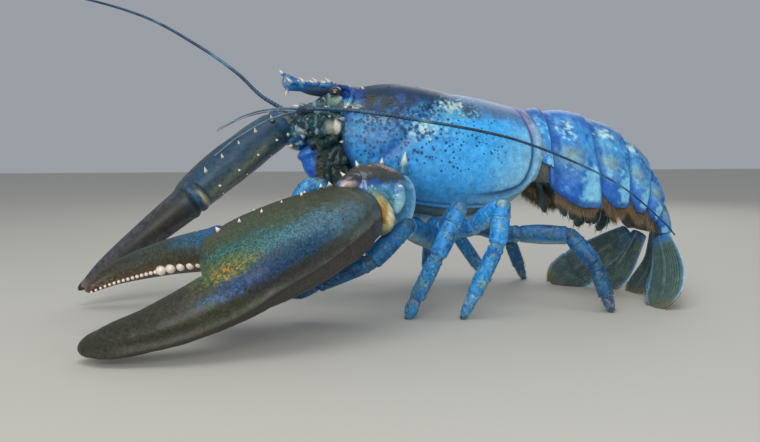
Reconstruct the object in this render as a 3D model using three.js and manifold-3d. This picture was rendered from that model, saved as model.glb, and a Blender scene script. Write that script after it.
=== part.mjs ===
// A life-size American lobster, standing with its head towards -X and its left side towards -Y.
// Millimetres, +Z up. The animal stands on the plane z = 0 with its feet, its left claw and its tail fan.
// x = 0 is the rear edge of the carapace at the back's midline until the last line centres the model.

import * as THREE from "three";
import { mergeVertices } from "three/addons/utils/BufferGeometryUtils.js";
import Module from "manifold-3d";

const wasm = await Module();
wasm.setup();

// Driving sizes
const GAP = 0.32; // clearance between two plates that meet
const CENTRE = [-122.9, -7.75]; // middle of the whole animal's box seen from above
const CARAPACE_LENGTH = 118; // from the edge of the eye socket to the rear edge
const ROSTRUM_LENGTH = 36;
const CRUSHER_LENGTH = 163; // left claw, from its wrist joint to the tip of the fixed finger
const CUTTER_LENGTH = 171;
const LEFT = -1;
const RIGHT = 1;

// Shell colours
const SHELL = "#2f83c9";
const PALE_SHELL = "#6fb0d8";
const LEG_BLUE = "#2b78b8";
const CLAW_BROWN = "#4a5650";
const EYE_BLACK = "#0c0d12";
const STALK_GREEN = "#6d8f80";
const FAN_GREEN = "#3d5a57";
const FEELER_BLUE = "#27506e";

// Points and curves

const vector = (p) => new THREE.Vector3(...p);
const mix = (a, b, t) => a + (b - a) * t;
const mirrored = (side) => (p) => [p[0], p[1] * side, p[2]];

// A smooth curve through keys [t, value], level beyond its ends
function through(keys) {
  if (typeof keys === "number") return () => keys;
  const last = keys.length - 1;
  const slope = keys.map((_, i) => {
    const a = keys[Math.max(i - 1, 0)];
    const b = keys[Math.min(i + 1, last)];
    return (b[1] - a[1]) / (b[0] - a[0]);
  });
  return (t) => {
    if (t <= keys[0][0]) return keys[0][1];
    if (t >= keys[last][0]) return keys[last][1];
    const i = keys.findIndex((k) => t < k[0]) - 1;
    const span = keys[i + 1][0] - keys[i][0];
    const u = (t - keys[i][0]) / span;
    const h = u * u * (3 - 2 * u);
    return (
      mix(keys[i][1], keys[i + 1][1], h) +
      span * u * (1 - u) * ((1 - u) * slope[i] - u * slope[i + 1])
    );
  };
}

// A smooth path through points, by share of its length
function pathThrough(points) {
  const at = [0];
  points.slice(1).forEach((p, i) => at.push(at[i] + vector(p).distanceTo(vector(points[i]))));
  const whole = at[at.length - 1];
  const axes = [0, 1, 2].map((axis) => through(points.map((p, i) => [at[i] / whole, p[axis]])));
  const point = (t) => new THREE.Vector3(axes[0](t), axes[1](t), axes[2](t));
  const heading = (t) => point(Math.min(t + 0.01, 1)).sub(point(Math.max(t - 0.01, 0))).normalize();
  return { point, heading, whole };
}

// Solids

function signedVolume(vertices, triangles) {
  const corner = (i) => new THREE.Vector3().fromArray(vertices, triangles[i] * 3);
  let sum = 0;
  for (let i = 0; i < triangles.length; i += 3) {
    sum += corner(i).dot(corner(i + 1).cross(corner(i + 2)));
  }
  return sum;
}

// A closed geometry as a solid, turned to face outwards if its making turned it inside out
function solidOf(geometry) {
  const bare = geometry.clone();
  bare.deleteAttribute("normal");
  bare.deleteAttribute("uv");
  const merged = mergeVertices(bare, 1e-5);
  const vertProperties = new Float32Array(merged.attributes.position.array);
  const triVerts = new Uint32Array(merged.index.array);
  if (signedVolume(vertProperties, triVerts) < 0) {
    for (let i = 0; i < triVerts.length; i += 3) {
      [triVerts[i], triVerts[i + 1]] = [triVerts[i + 1], triVerts[i]];
    }
  }
  return new wasm.Manifold(new wasm.Mesh({ numProp: 3, vertProperties, triVerts }));
}

// Rows from end to end of a form: t is the place along it, k the share of its full size there
function rowsOf(steps, ends) {
  const closing = [0, Math.PI / 4];
  const rounded = (q) => closing.map((a) => ({ t: q * (1 - Math.cos(a)), k: Math.sin(a) }));
  const start = ends[0] ? rounded(ends[0]) : [{ t: 0, k: 0 }];
  const finish = ends[1] ? rounded(ends[1]) : [{ t: 0, k: 0 }];
  const middle = [];
  for (let i = 0; i <= steps; i += 1) middle.push({ t: mix(ends[0], 1 - ends[1], i / steps), k: 1 });
  return [...start, ...middle, ...finish.reverse().map(({ t, k }) => ({ t: 1 - t, k }))];
}

// A sphere's net of faces laid over a form: place(row, angle) gives the point of each corner
function netOver(sides, rows, place) {
  const steps = rows.length - 1;
  const net = new THREE.SphereGeometry(1, sides, steps);
  net.deleteAttribute("normal");
  net.deleteAttribute("uv");
  const closed = mergeVertices(net, 1e-5);
  const corners = closed.attributes.position;
  for (let i = 0; i < corners.count; i += 1) {
    const row = Math.round((Math.acos(THREE.MathUtils.clamp(corners.getY(i), -1, 1)) / Math.PI) * steps);
    const p = place(rows[row], Math.atan2(corners.getZ(i), corners.getX(i)));
    corners.setXYZ(i, p.x, p.y, p.z);
  }
  return closed;
}

const bulge = (value, power) => Math.sign(value) * Math.abs(value) ** (2 / power);

// A closed form along a path: width lies across it and depth along up, both half sizes keyed by t
function loft({ path, up = [0, 0, 1], width, depth, square = 2, ends = [0.08, 0.08], sides = 10, steps = 5 }, grow) {
  const line = pathThrough(path);
  const across = through(width);
  const deep = through(depth);
  return netOver(sides, rowsOf(steps, ends), ({ t, k }, angle) => {
    const heading = line.heading(t);
    const side = vector(up).cross(heading).normalize();
    const top = heading.clone().cross(side);
    const reach = t < 0.5 ? -grow : grow;
    return line
      .point(t)
      .addScaledVector(heading, t <= ends[0] || t >= 1 - ends[1] ? reach : 0)
      .addScaledVector(side, (across(t) + grow) * k * bulge(Math.cos(angle), square))
      .addScaledVector(top, (deep(t) + grow) * k * bulge(Math.sin(angle), square));
  });
}

// A pointed spine whose root is sunk in the shell
function spine(at, direction, length, radius, grow, sides = 5) {
  const sunk = length * 0.4;
  const cone = new THREE.ConeGeometry(radius + grow, length + sunk + 2 * grow, sides);
  const aim = vector(direction).normalize();
  cone.translate(0, (length - sunk) / 2 + grow * 0.5, 0);
  cone.applyQuaternion(new THREE.Quaternion().setFromUnitVectors(new THREE.Vector3(0, 1, 0), aim));
  return cone.translate(...at);
}

function ball(at, radius, grow, sides = 6, rings = 4) {
  return new THREE.SphereGeometry(radius + grow, sides, rings).translate(...at);
}

// A curved plate: BoxGeometry's x, y and z become around, depth and along for place()
function plate(around, along, place) {
  const slab = new THREE.BoxGeometry(2, 1, 1, around, 1, along);
  slab.deleteAttribute("normal");
  slab.deleteAttribute("uv");
  const closed = mergeVertices(slab, 1e-5);
  const corners = closed.attributes.position;
  for (let i = 0; i < corners.count; i += 1) {
    const p = place(corners.getX(i), corners.getY(i) + 0.5, corners.getZ(i) + 0.5);
    corners.setXYZ(i, p.x, p.y, p.z);
  }
  return closed;
}

// Parts, in the order in which one gives way to another: a later part is cut clear of the earlier ones

const parts = [];
const part = (name, colour, make) => parts.push({ name, colour, make });

// Carapace: rings keyed by t, from the front of the head to the rear edge
const BACK = through([[0, 128], [0.12, 133], [0.34, 135.4], [0.62, 130], [0.8, 126.3], [1, 121]]);
const BELLY = through([[0, 80], [0.18, 62], [0.4, 53], [0.7, 51], [0.9, 55], [1, 60]]);
const HALF_WIDTH = through([[0, 20], [0.12, 25.5], [0.35, 31.5], [0.6, 35], [0.82, 34], [1, 30]]);
const TUCK = 0.36; // how far the lower edges turn in under the body

function carapacePoint(t, k, angle, grow) {
  const top = BACK(t) + grow;
  const bottom = BELLY(t) - grow;
  const waist = mix(bottom, top, 0.5);
  const high = Math.sin(angle);
  const power = high > 0 ? 2.15 : 3;
  const lift = bulge(high, power);
  const tuck = high < 0 ? 1 - TUCK * lift * lift : 1;
  const y = (HALF_WIDTH(t) + grow) * bulge(Math.cos(angle), power) * tuck * k;
  const z = waist + ((top - bottom) / 2) * lift * k;
  const down = (top - z) / (top - bottom);
  const rear = 4.5 * Math.sin(Math.PI * Math.min(down * 1.3, 1)) - 12 * Math.max(down - 0.72, 0) * 3.5;
  const front = 34 * Math.max(down - 0.62, 0) ** 1.2;
  const groove = 1.5 * cervicalGroove(t, down) * Math.min(k * k, 1);
  const x = mix(-CARAPACE_LENGTH + front - grow, rear + grow, t);
  const inward = new THREE.Vector3(0, -y, waist - z).normalize();
  return new THREE.Vector3(x, y, z).addScaledVector(inward, groove);
}

// The groove that runs from the back's midline forwards and down, as a share of its full depth
function cervicalGroove(t, down) {
  const line = 0.6 - 0.42 * THREE.MathUtils.clamp(down / 0.62, 0, 1) ** 0.8;
  const fade = THREE.MathUtils.clamp((0.66 - down) / 0.12, 0, 1);
  return Math.exp(-(((t - line) / 0.028) ** 2)) * fade;
}

part("carapace", SHELL, (grow) => {
  const rows = rowsOf(15, [0, 0]);
  const shell = netOver(24, rows, ({ t, k }, angle) => carapacePoint(t, k, angle, grow));
  const base = -CARAPACE_LENGTH;
  const rostrum = loft({
    path: [[base + 16, 0, 128], [base, 0, 130.5], [base - 18, 0, 132.5], [base - ROSTRUM_LENGTH + 4, 0, 140.5]],
    width: [[0, 12], [0.3, 8.5], [0.65, 4.6], [0.9, 2.2], [1, 1]],
    depth: [[0, 4.5], [0.3, 4.3], [0.65, 3.6], [0.9, 2], [1, 1]],
    ends: [0, 0.06], sides: 10, steps: 7,
  }, grow);
  const spines = [spine([base - 30, 0, 131], [-0.35, 0, -1], 7, 2.2, grow)];
  for (const side of [LEFT, RIGHT]) {
    for (let i = 0; i < 4; i += 1) {
      const x = base - 26 + i * 7.5;
      const y = (2.6 + i * 1.5) * side;
      spines.push(spine([x, y, 134.6 - i * 0.1], [-0.9, side * 0.35, 0.75], 5.5, 1.9, grow));
    }
    spines.push(spine([base + 5, 16 * side, 129], [-1, side * 0.2, 0.35], 7, 2.4, grow));
    spines.push(spine([base + 2, 21 * side, 115], [-1, side * 0.25, 0.1], 9, 3, grow));
    spines.push(spine([base + 1, 21 * side, 100], [-1, side * 0.25, 0], 6, 2.6, grow));
  }
  return [shell, rostrum, ...spines];
});

part("thorax_underside", PALE_SHELL, (grow) => [
  loft({
    path: [[-104, 0, 60], [-84, 0, 51], [-50, 0, 48], [-8, 0, 53]],
    width: [[0, 9], [0.3, 13], [0.7, 15], [1, 13]], depth: [[0, 6], [0.4, 8], [1, 8]],
    square: 3, ends: [0.05, 0.05], sides: 8, steps: 4,
  }, grow),
]);

// Abdomen: each tail plate spans two edge lines, from the ridge on the back to the pleura's tips
const EDGES = [
  { ridge: [-3, 117], tip: [-2, 72], half: 25.5 },
  { ridge: [9, 121], tip: [11, 61], half: 28.5 },
  { ridge: [37.5, 118], tip: [43, 59], half: 29.5 },
  { ridge: [63, 108.5], tip: [62, 59], half: 29 },
  { ridge: [83, 93], tip: [75, 55], half: 27 },
  { ridge: [96, 72], tip: [84.5, 49.5], half: 25 },
  { ridge: [106.5, 41], tip: [92, 41], half: 21 },
];
const PLEURA = [[0.5, 0.6], [0.74, 1], [0.72, 1], [0.7, 1], [0.7, 1], [0.8, 1]]; // depth at the front and rear corners
const FLESH_SHARE = 0.76; // how far down the soft underside lies, from the ridge towards the pleura's tips
const SEGMENT_NAMES = [1, 2, 3, 4, 5, 6].map((n) => `tail_segment_${n}`);

// A point in the body's middle plane, drop being its share of the way from the ridge to the tips
function chordPoint(n, drop, s) {
  const [a, b] = [EDGES[n], EDGES[n + 1]];
  const [x, z] = [0, 1].map((i) => mix(mix(a.ridge[i], a.tip[i], drop), mix(b.ridge[i], b.tip[i], drop), s));
  return new THREE.Vector3(x, 0, z);
}

// u runs from -1 at the left tip over the ridge to 1 at the right tip, s from front to rear
function tailPoint(n, u, s, lower) {
  const a = EDGES[n];
  const b = EDGES[n + 1];
  const turn = Math.abs(u) * Math.PI * 0.5;
  const corner = mix(...PLEURA[n], THREE.MathUtils.clamp(s / 0.62, 0, 1) ** 0.5);
  const drop = (1 - Math.cos(turn) ** 0.86) * mix(1, corner, Math.abs(u) ** 3);
  const swell = 1.4 * Math.sin(Math.PI * s) - lower;
  const side = Math.sin(turn) ** 0.78 * (1 - 0.1 * Math.max(drop - 0.6, 0));
  const half = mix(a.half, b.half, s) + swell;
  const out = swell * Math.cos(turn);
  const lean = (b.ridge[0] - a.ridge[0]) / Math.hypot(b.ridge[0] - a.ridge[0], b.ridge[1] - a.ridge[1]);
  const lift = new THREE.Vector3(out * Math.sqrt(1 - lean * lean), half * side * Math.sign(u), out * lean);
  return chordPoint(n, drop, s).add(lift);
}

function swimmeret(n, side, grow) {
  const a = tailPoint(n, 0, 0.5, 38);
  const root = [a.x, 11 * side, a.z];
  const back = [0.25, 0.1, -0.15, -0.4][n - 1];
  const long = [30, 27, 24, 20][n - 1];
  const end = [a.x + long * back, 15 * side, a.z - long];
  return loft({
    path: [root, [mix(root[0], end[0], 0.45), 14 * side, mix(root[2], end[2], 0.5)], end],
    up: [1, 0, 0.2], width: [[0, 3], [0.35, 5.5], [0.7, 7], [1, 4]],
    depth: [[0, 2.2], [0.4, 1.4], [1, 0.8]], ends: [0, 0.15], sides: 6, steps: 3,
  }, grow);
}

SEGMENT_NAMES.forEach((name, n) => {
  part(name, n % 2 ? SHELL : LEG_BLUE, (grow) => {
    const thick = 3.2;
    const stretched = (s) => mix(0.006, 0.994, s) + (s - 0.5) * grow * 0.05;
    const arch = plate(14, 3, (u, depth, s) => {
      const p = tailPoint(n, u, stretched(s), (1 - depth) * thick - grow * (depth * 2 - 1));
      return p.setZ(p.z - grow * Math.abs(u) ** 9);
    });
    const flesh = plate(6, 1, (u, depth, s) => {
      const under = chordPoint(n, FLESH_SHARE, stretched(s));
      const shell = tailPoint(n, u * 0.78, stretched(s), 1.6 - grow);
      shell.y += u * grow;
      under.z -= grow;
      return under.setY(shell.y * 0.92).lerp(shell, depth);
    });
    const limbs = n >= 1 && n <= 4 ? [swimmeret(n, LEFT, grow), swimmeret(n, RIGHT, grow)] : [];
    return [arch, flesh, ...limbs];
  });
});

// Tail fan: each blade hangs from the last plate and stands on the floor
const FAN = [
  { name: "telson", root: [101.5, -1, 41], tip: [82, -6, -0.6], bow: [7, 0, 0], wide: 13, facing: [1, 0.1, -0.45] },
  { name: "tail_fan_left_inner", root: [97, -12, 39], tip: [84, -32, -0.6], bow: [4, -2, 0], wide: 13,
    facing: [1, 0.3, -0.4] },
  { name: "tail_fan_left_outer", root: [95, -17, 39], tip: [70, -56, -0.6], bow: [2, -3, 0], wide: 12.5,
    facing: [1, 0.3, -0.6] },
  { name: "tail_fan_right_inner", root: [97, 11, 39], tip: [70, 13, -0.6], bow: [2, 2, 0], wide: 13,
    facing: [1, 0.4, -0.5] },
  { name: "tail_fan_right_outer", root: [93, 17, 38], tip: [44, 37, -0.6], bow: [5, 4, 1], wide: 16.5,
    facing: [1, 0.75, -0.6] },
];

FAN.forEach(({ name, root, tip, bow, wide, facing }) => {
  part(name, FAN_GREEN, (grow) => {
    const middle = root.map((v, i) => mix(v, tip[i], 0.5) + bow[i]);
    return [
      loft({
        path: [root, middle, tip], up: facing,
        width: [[0, wide * 0.45], [0.3, wide * 0.76], [0.7, wide], [1, wide * 0.75]],
        depth: [[0, 2.6], [0.3, 1.5], [1, 0.9]], ends: [0.03, 0.2], sides: 10, steps: 5,
      }, grow),
    ];
  });
});

// Head: eyes on their stalks, feelers and the outer mouth limbs
for (const side of [LEFT, RIGHT]) {
  const word = side === LEFT ? "left" : "right";
  const at = mirrored(side);

  part(`eye_${word}`, EYE_BLACK, (grow) => [ball(at([-121.5, 14.6, 129.6]), 4.4, grow, 12, 8)]);

  part(`eye_stalk_${word}`, STALK_GREEN, (grow) => [
    loft({
      path: [at([-112, 8, 120]), at([-117, 11.5, 123]), at([-121, 14.2, 127.8])],
      width: [[0, 3.4], [1, 4.9]], depth: [[0, 3.4], [1, 4.9]], ends: [0, 0.3], sides: 10, steps: 3,
    }, grow),
  ]);

  part(`antenna_base_${word}`, LEG_BLUE, (grow) => [
    loft({
      path: [at([-113, 17, 107]), at([-127, 19, 111.5]), at([-140, 20.5, 116])],
      width: [[0, 8], [0.35, 7], [0.45, 5.6], [0.75, 5], [1, 4]],
      depth: [[0, 7], [0.35, 6.4], [0.45, 5.4], [0.75, 4.6], [1, 3.8]],
      ends: [0, 0.1], sides: 7, steps: 4,
    }, grow),
    loft({
      path: [at([-118, 24, 112]), at([-128, 26, 115]), at([-142, 25, 119])],
      width: [[0, 2.5], [0.5, 4], [1, 0.8]], depth: [[0, 2], [0.6, 1.5], [1, 0.7]],
      ends: [0.1, 0.1], sides: 6, steps: 3,
    }, grow),
  ]);

  part(`antennule_${word}`, FEELER_BLUE, (grow) => [
    loft({
      path: [at([-114, 6, 114]), at([-126, 6.5, 118]), at([-139, 7, 119])],
      width: [[0, 3], [0.9, 2.2], [1, 1.8]], depth: [[0, 3], [1, 1.8]], ends: [0, 0.1], sides: 8, steps: 3,
    }, grow),
    loft({
      path: [at([-137, 6.4, 119]), at([-156, 8, 114]), at([-176, 12, 103]), at([-190, 17, 92])],
      width: [[0, 1.1], [1, 0.4]], depth: [[0, 1.1], [1, 0.4]], ends: [0, 0], sides: 4, steps: 6,
    }, grow),
    loft({
      path: [at([-137, 7.6, 119]), at([-155, 14, 119]), at([-172, 22, 115]), at([-188, 30, 107])],
      width: [[0, 1.1], [1, 0.4]], depth: [[0, 1.1], [1, 0.4]], ends: [0, 0], sides: 4, steps: 6,
    }, grow),
  ]);

  part(`mouth_limb_${word}`, LEG_BLUE, (grow) => [
    loft({
      path: [at([-96, 8, 57]), at([-112, 9, 63]), at([-126, 9.5, 76]), at([-131, 9, 86])],
      width: [[0, 5], [0.5, 5.2], [1, 4]], depth: [[0, 6], [0.5, 6], [1, 4.4]], ends: [0, 0.1], sides: 7, steps: 4,
    }, grow),
    loft({
      path: [at([-130, 9, 85]), at([-137, 8, 79]), at([-138, 7, 68]), at([-133, 6.5, 59])],
      width: [[0, 3.4], [0.6, 3], [1, 1.2]], depth: [[0, 3.6], [0.6, 3], [1, 1.2]],
      ends: [0.1, 0.08], sides: 6, steps: 4,
    }, grow),
  ]);
}

// The long feelers: the left one is swept back beside the body, the right one forwards and up
const FEELERS = {
  left: [
    [-138.5, -20.5, 115.5], [-143.5, -25, 117], [-140, -32.5, 118], [-120, -38.5, 117.5], [-89, -44, 113.5],
    [-31.5, -48, 103.6], [6.7, -46, 92], [49, -42, 74], [84, -36, 50], [93, -34, 42],
  ],
  right: [
    [-138.5, 20.5, 115.5], [-148, 21.5, 121], [-160.8, 24, 129], [-174, 30, 142.3], [-195.7, 40, 158.8],
    [-230, 55, 179], [-276, 75, 194], [-320, 92, 202], [-352, 104, 205],
  ],
};
const FEELER_PARTING = 0.5;

for (const word of ["left", "right"]) {
  const path = FEELERS[word];
  const line = pathThrough(path);
  const thickness = through([[0, 2.6], [0.1, 1.9], [0.5, 1.1], [1, 0.45]]);
  const stretch = (from, to, steps, grow) => {
    const points = [];
    for (let i = 0; i <= steps; i += 1) points.push(line.point(mix(from, to, i / steps)).toArray());
    const girth = [0, 0.2, 0.5, 0.8, 1].map((t) => [t, thickness(mix(from, to, t))]);
    return loft({ path: points, width: girth, depth: girth, ends: [0, 0], sides: 5, steps }, grow);
  };
  const parting = 0.18 / line.whole;
  part(`feeler_${word}_root`, FEELER_BLUE, (grow) => [stretch(0, FEELER_PARTING - parting, 14, grow)]);
  part(`feeler_${word}_tip`, FEELER_BLUE, (grow) => [stretch(FEELER_PARTING + parting, 1, 10, grow)]);
}

// Claws: a local frame with s along the claw, w towards the moving finger and h out of its upper face
function clawFrame(base, tip, roll, side) {
  const along = vector(tip).sub(vector(base)).normalize();
  const level = new THREE.Vector3(0, 0, 1).cross(along).multiplyScalar(-side * -1).normalize();
  if (level.y * side > 0) level.negate();
  const up = along.clone().cross(level).normalize();
  if (up.z < 0) up.negate();
  const across = level.clone().multiplyScalar(Math.cos(roll)).addScaledVector(up, Math.sin(roll));
  const face = up.clone().multiplyScalar(Math.cos(roll)).addScaledVector(level, -Math.sin(roll));
  return new THREE.Matrix4().makeBasis(along, across, face).setPosition(...base);
}

const CRUSHER = clawFrame([-107, -75, 67], [-252, -92, 12.5], THREE.MathUtils.degToRad(17), LEFT);
const CUTTER = clawFrame([-139, 38, 116], [-274, 31, 9], THREE.MathUtils.degToRad(4), RIGHT);

// Teeth along a finger's biting edge, from the joint to the tip
function teeth(frame, line, sizes, grow) {
  const edge = pathThrough(line);
  return sizes.map((radius, i) => {
    const p = edge.point((i + 0.5) / sizes.length).toArray();
    return ball(p, radius, grow).applyMatrix4(frame);
  });
}

function thorns(frame, line, count, length, radius, lean, grow) {
  const edge = pathThrough(line);
  const found = [];
  for (let i = 0; i < count; i += 1) {
    const p = edge.point(i / (count - 1)).toArray();
    found.push(spine(p, lean, length, radius, grow).applyMatrix4(frame));
  }
  return found;
}

part("claw_left_finger", CLAW_BROWN, (grow) => [
  loft({
    path: [[71, 19, 0], [84, 26, 0], [108, 38, 0], [134, 45.5, -1], [152, 44, -3]],
    width: [[0, 10], [0.15, 12], [0.5, 9.6], [0.8, 6.4], [1, 3]],
    depth: [[0, 10.5], [0.15, 11], [0.5, 9], [0.8, 6], [1, 2.4]], ends: [0.06, 0.05], sides: 12, steps: 6,
  }, grow).applyMatrix4(CRUSHER),
  ...teeth(CRUSHER, [[88, 18.5, 1], [112, 29.5, 1], [138, 39.5, -1], [149, 41.5, -3]],
    [3, 4.6, 3.1, 2.8, 2.6, 1.6, 1.5, 1.4, 1.4, 1.3], grow),
]);

part("claw_left_palm", CLAW_BROWN, (grow) => [
  loft({
    path: [[0, 0, 0], [22, -1, 0], [50, -1.5, 0], [75, -3, 0], [97, -4, 0]],
    width: [[0, 13], [0.16, 18.5], [0.42, 27], [0.72, 32], [0.9, 29], [1, 24]],
    depth: [[0, 13], [0.2, 17], [0.5, 19.5], [0.8, 17.5], [1, 13]], square: 2.2,
    ends: [0.1, 0.1], sides: 14, steps: 6,
  }, grow).applyMatrix4(CRUSHER),
  loft({
    path: [[62, -14, -1], [90, -19.5, -1.5], [118, -19.5, -2], [144, -12.5, -2.5], [CRUSHER_LENGTH, -5, -3]],
    width: [[0, 19], [0.3, 16.5], [0.6, 14.5], [0.85, 12], [1, 7.5]],
    depth: [[0, 15], [0.3, 13.5], [0.6, 11], [0.85, 8], [1, 4.5]],
    ends: [0.04, 0.07], sides: 12, steps: 6,
  }, grow).applyMatrix4(CRUSHER),
  ...teeth(CRUSHER, [[94, -3, 0], [116, -5.5, -1], [138, -2, -2], [154, 2, -3]],
    [3.4, 4.4, 3.4, 2.8, 2.2, 1.6, 1.4, 1.3], grow),
  ...thorns(CRUSHER, [[14, 17.5, 4], [36, 25, 5], [62, 29, 5]], 5, 5, 2.2, [-0.3, 1, 0.5], grow),
]);

part("claw_right_finger", CLAW_BROWN, (grow) => [
  loft({
    path: [[74, 14, 0], [86, 18.5, 0], [112, 21.5, 0], [142, 18.5, 0], [166, 9.5, 0]],
    width: [[0, 9.5], [0.15, 10.4], [0.5, 8.6], [0.8, 6], [1, 2]],
    depth: [[0, 9.5], [0.15, 10.2], [0.5, 8.2], [0.8, 5.6], [1, 2]], ends: [0.05, 0.04], sides: 10, steps: 7,
  }, grow).applyMatrix4(CUTTER),
]);

part("claw_right_palm", CLAW_BROWN, (grow) => [
  loft({
    path: [[0, 0, 0], [22, -0.5, 1.5], [50, -1, 2.5], [74, -1, 2], [92, -3, 0]],
    width: [[0, 11], [0.2, 18], [0.5, 24], [0.8, 24.5], [1, 19]],
    depth: [[0, 9.5], [0.2, 12], [0.55, 13], [0.85, 12], [1, 9.5]], square: 2.2,
    ends: [0.1, 0.1], sides: 12, steps: 5,
  }, grow).applyMatrix4(CUTTER),
  loft({
    path: [[64, -10, 0], [96, -14, 0], [130, -12.5, 0], [CUTTER_LENGTH, 0, 0]],
    width: [[0, 14], [0.3, 11], [0.7, 7.5], [1, 2]],
    depth: [[0, 11], [0.3, 9], [0.7, 6.5], [1, 2]], ends: [0.04, 0.04], sides: 12, steps: 5,
  }, grow).applyMatrix4(CUTTER),
  ...teeth(CUTTER, [[94, -2.5, 0], [130, -4.5, 0], [160, -0.5, 0]],
    [2, 2.6, 1.8, 1.8, 2.4, 1.6, 1.4, 1.4], grow),
  ...thorns(CUTTER, [[14, 15, 6], [38, 20.5, 7], [66, 23, 7]], 5, 6, 2.1, [-0.2, 1, 0.5], grow),
]);

// Arms: wrist and upper arm of each claw
const ARMS = {
  left: {
    wrist: { path: [[-93, -59, 71], [-107, -62.5, 75], [-124, -67, 73.5]], wide: 13.5, deep: 13.5 },
    arm: { path: [[-86, -17, 49], [-90, -33, 54], [-92, -57, 68]], wide: 8.5, deep: 18 },
    thorns: [[[-99, -62, 86.5], [0.2, 0, 1]], [[-112, -65, 87], [-0.3, 0, 1]], [[-124, -66, 81], [-1, 0, 1]],
      [[-112, -75, 76], [-0.2, -1, 0.4]], [[-97, -73, 76], [0.2, -1, 0.2]]],
    tall: [[-91, -57, 82], [0.1, -0.1, 1], 12, 4],
  },
  right: {
    wrist: { path: [[-128, 30, 101], [-134, 34, 107], [-141, 38, 114]], wide: 12, deep: 13 },
    arm: { path: [[-86, 17, 49], [-104, 20, 58], [-120, 26, 82], [-126, 29, 98]], wide: 9.5, deep: 13 },
    thorns: [[[-140, 25, 110], [-0.6, -1, 0.6]], [[-132, 22, 104], [-0.3, -1, 0.3]], [[-128, 36, 114], [0.4, 0.2, 1]],
      [[-140, 25, 101], [-0.6, -1, -0.1]]],
    tall: [[-120, 30, 103], [0.6, 0, 1], 8, 3],
  },
};

for (const word of ["left", "right"]) {
  const { wrist, arm, thorns: spikes, tall } = ARMS[word];
  part(`claw_${word}_wrist`, LEG_BLUE, (grow) => [
    loft({
      path: wrist.path,
      width: [[0, wrist.wide * 0.72], [0.4, wrist.wide], [0.8, wrist.wide * 0.95], [1, wrist.wide * 0.7]],
      depth: [[0, wrist.deep * 0.72], [0.4, wrist.deep], [0.8, wrist.deep * 0.92], [1, wrist.deep * 0.7]],
      ends: [0.12, 0.16], sides: 10, steps: 4,
    }, grow),
    ...spikes.map(([at, way]) => spine(at, way, 4.5, 2.2, grow)),
  ]);
  part(`claw_${word}_arm`, LEG_BLUE, (grow) => [
    loft({
      path: arm.path, up: [0.2, 0, 1],
      width: [[0, 7], [0.3, 7.5], [0.6, arm.wide * 0.85], [1, arm.wide]],
      depth: [[0, 7.5], [0.3, 8.5], [0.6, arm.deep * 0.75], [1, arm.deep]],
      ends: [0, 0.08], sides: 10, steps: 5,
    }, grow),
    spine(tall[0], tall[1], tall[2], tall[3], grow, 8),
  ]);
}

// Walking legs, numbered from the front: root, hip, knee, wrist and foot of each
const LEGS = {
  leg_1_left: [[-74, -16, 49], [-65, -31, 42], [-90, -60, 54], [-111, -65, 35.5], [-152, -46, 16]],
  leg_2_left: [[-60, -16, 49], [-60, -31, 49], [-59, -60, 63], [-72, -59, 36], [-86, -47, -0.7]],
  leg_3_left: [[-45, -16, 49], [-43, -31, 49], [-33, -58, 64], [-37, -61, 42], [-56, -56, -0.7]],
  leg_4_left: [[-31, -15, 49], [-20, -24, 45], [14, -48, 45], [26, -57, 28.5], [37, -58, -0.7]],
  leg_1_right: [[-74, 16, 49], [-76, 31, 50], [-92, 58, 60], [-112, 66, 38], [-134, 70, -0.7]],
  leg_2_right: [[-60, 16, 49], [-58, 31, 50], [-62, 60, 60], [-38, 66, 37], [-42, 62, -0.7]],
  leg_3_right: [[-45, 16, 49], [-43, 31, 49], [-45, 58, 58], [-20, 62, 36], [5, 58, -0.7]],
  leg_4_right: [[-31, 15, 49], [-20, 24, 44], [8, 50, 46], [20, 58, 30], [34, 62, -0.7]],
};
const STOUT = { 1: 1.12, 2: 1, 3: 1.04, 4: 1 }; // girth of each pair against the second one

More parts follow.
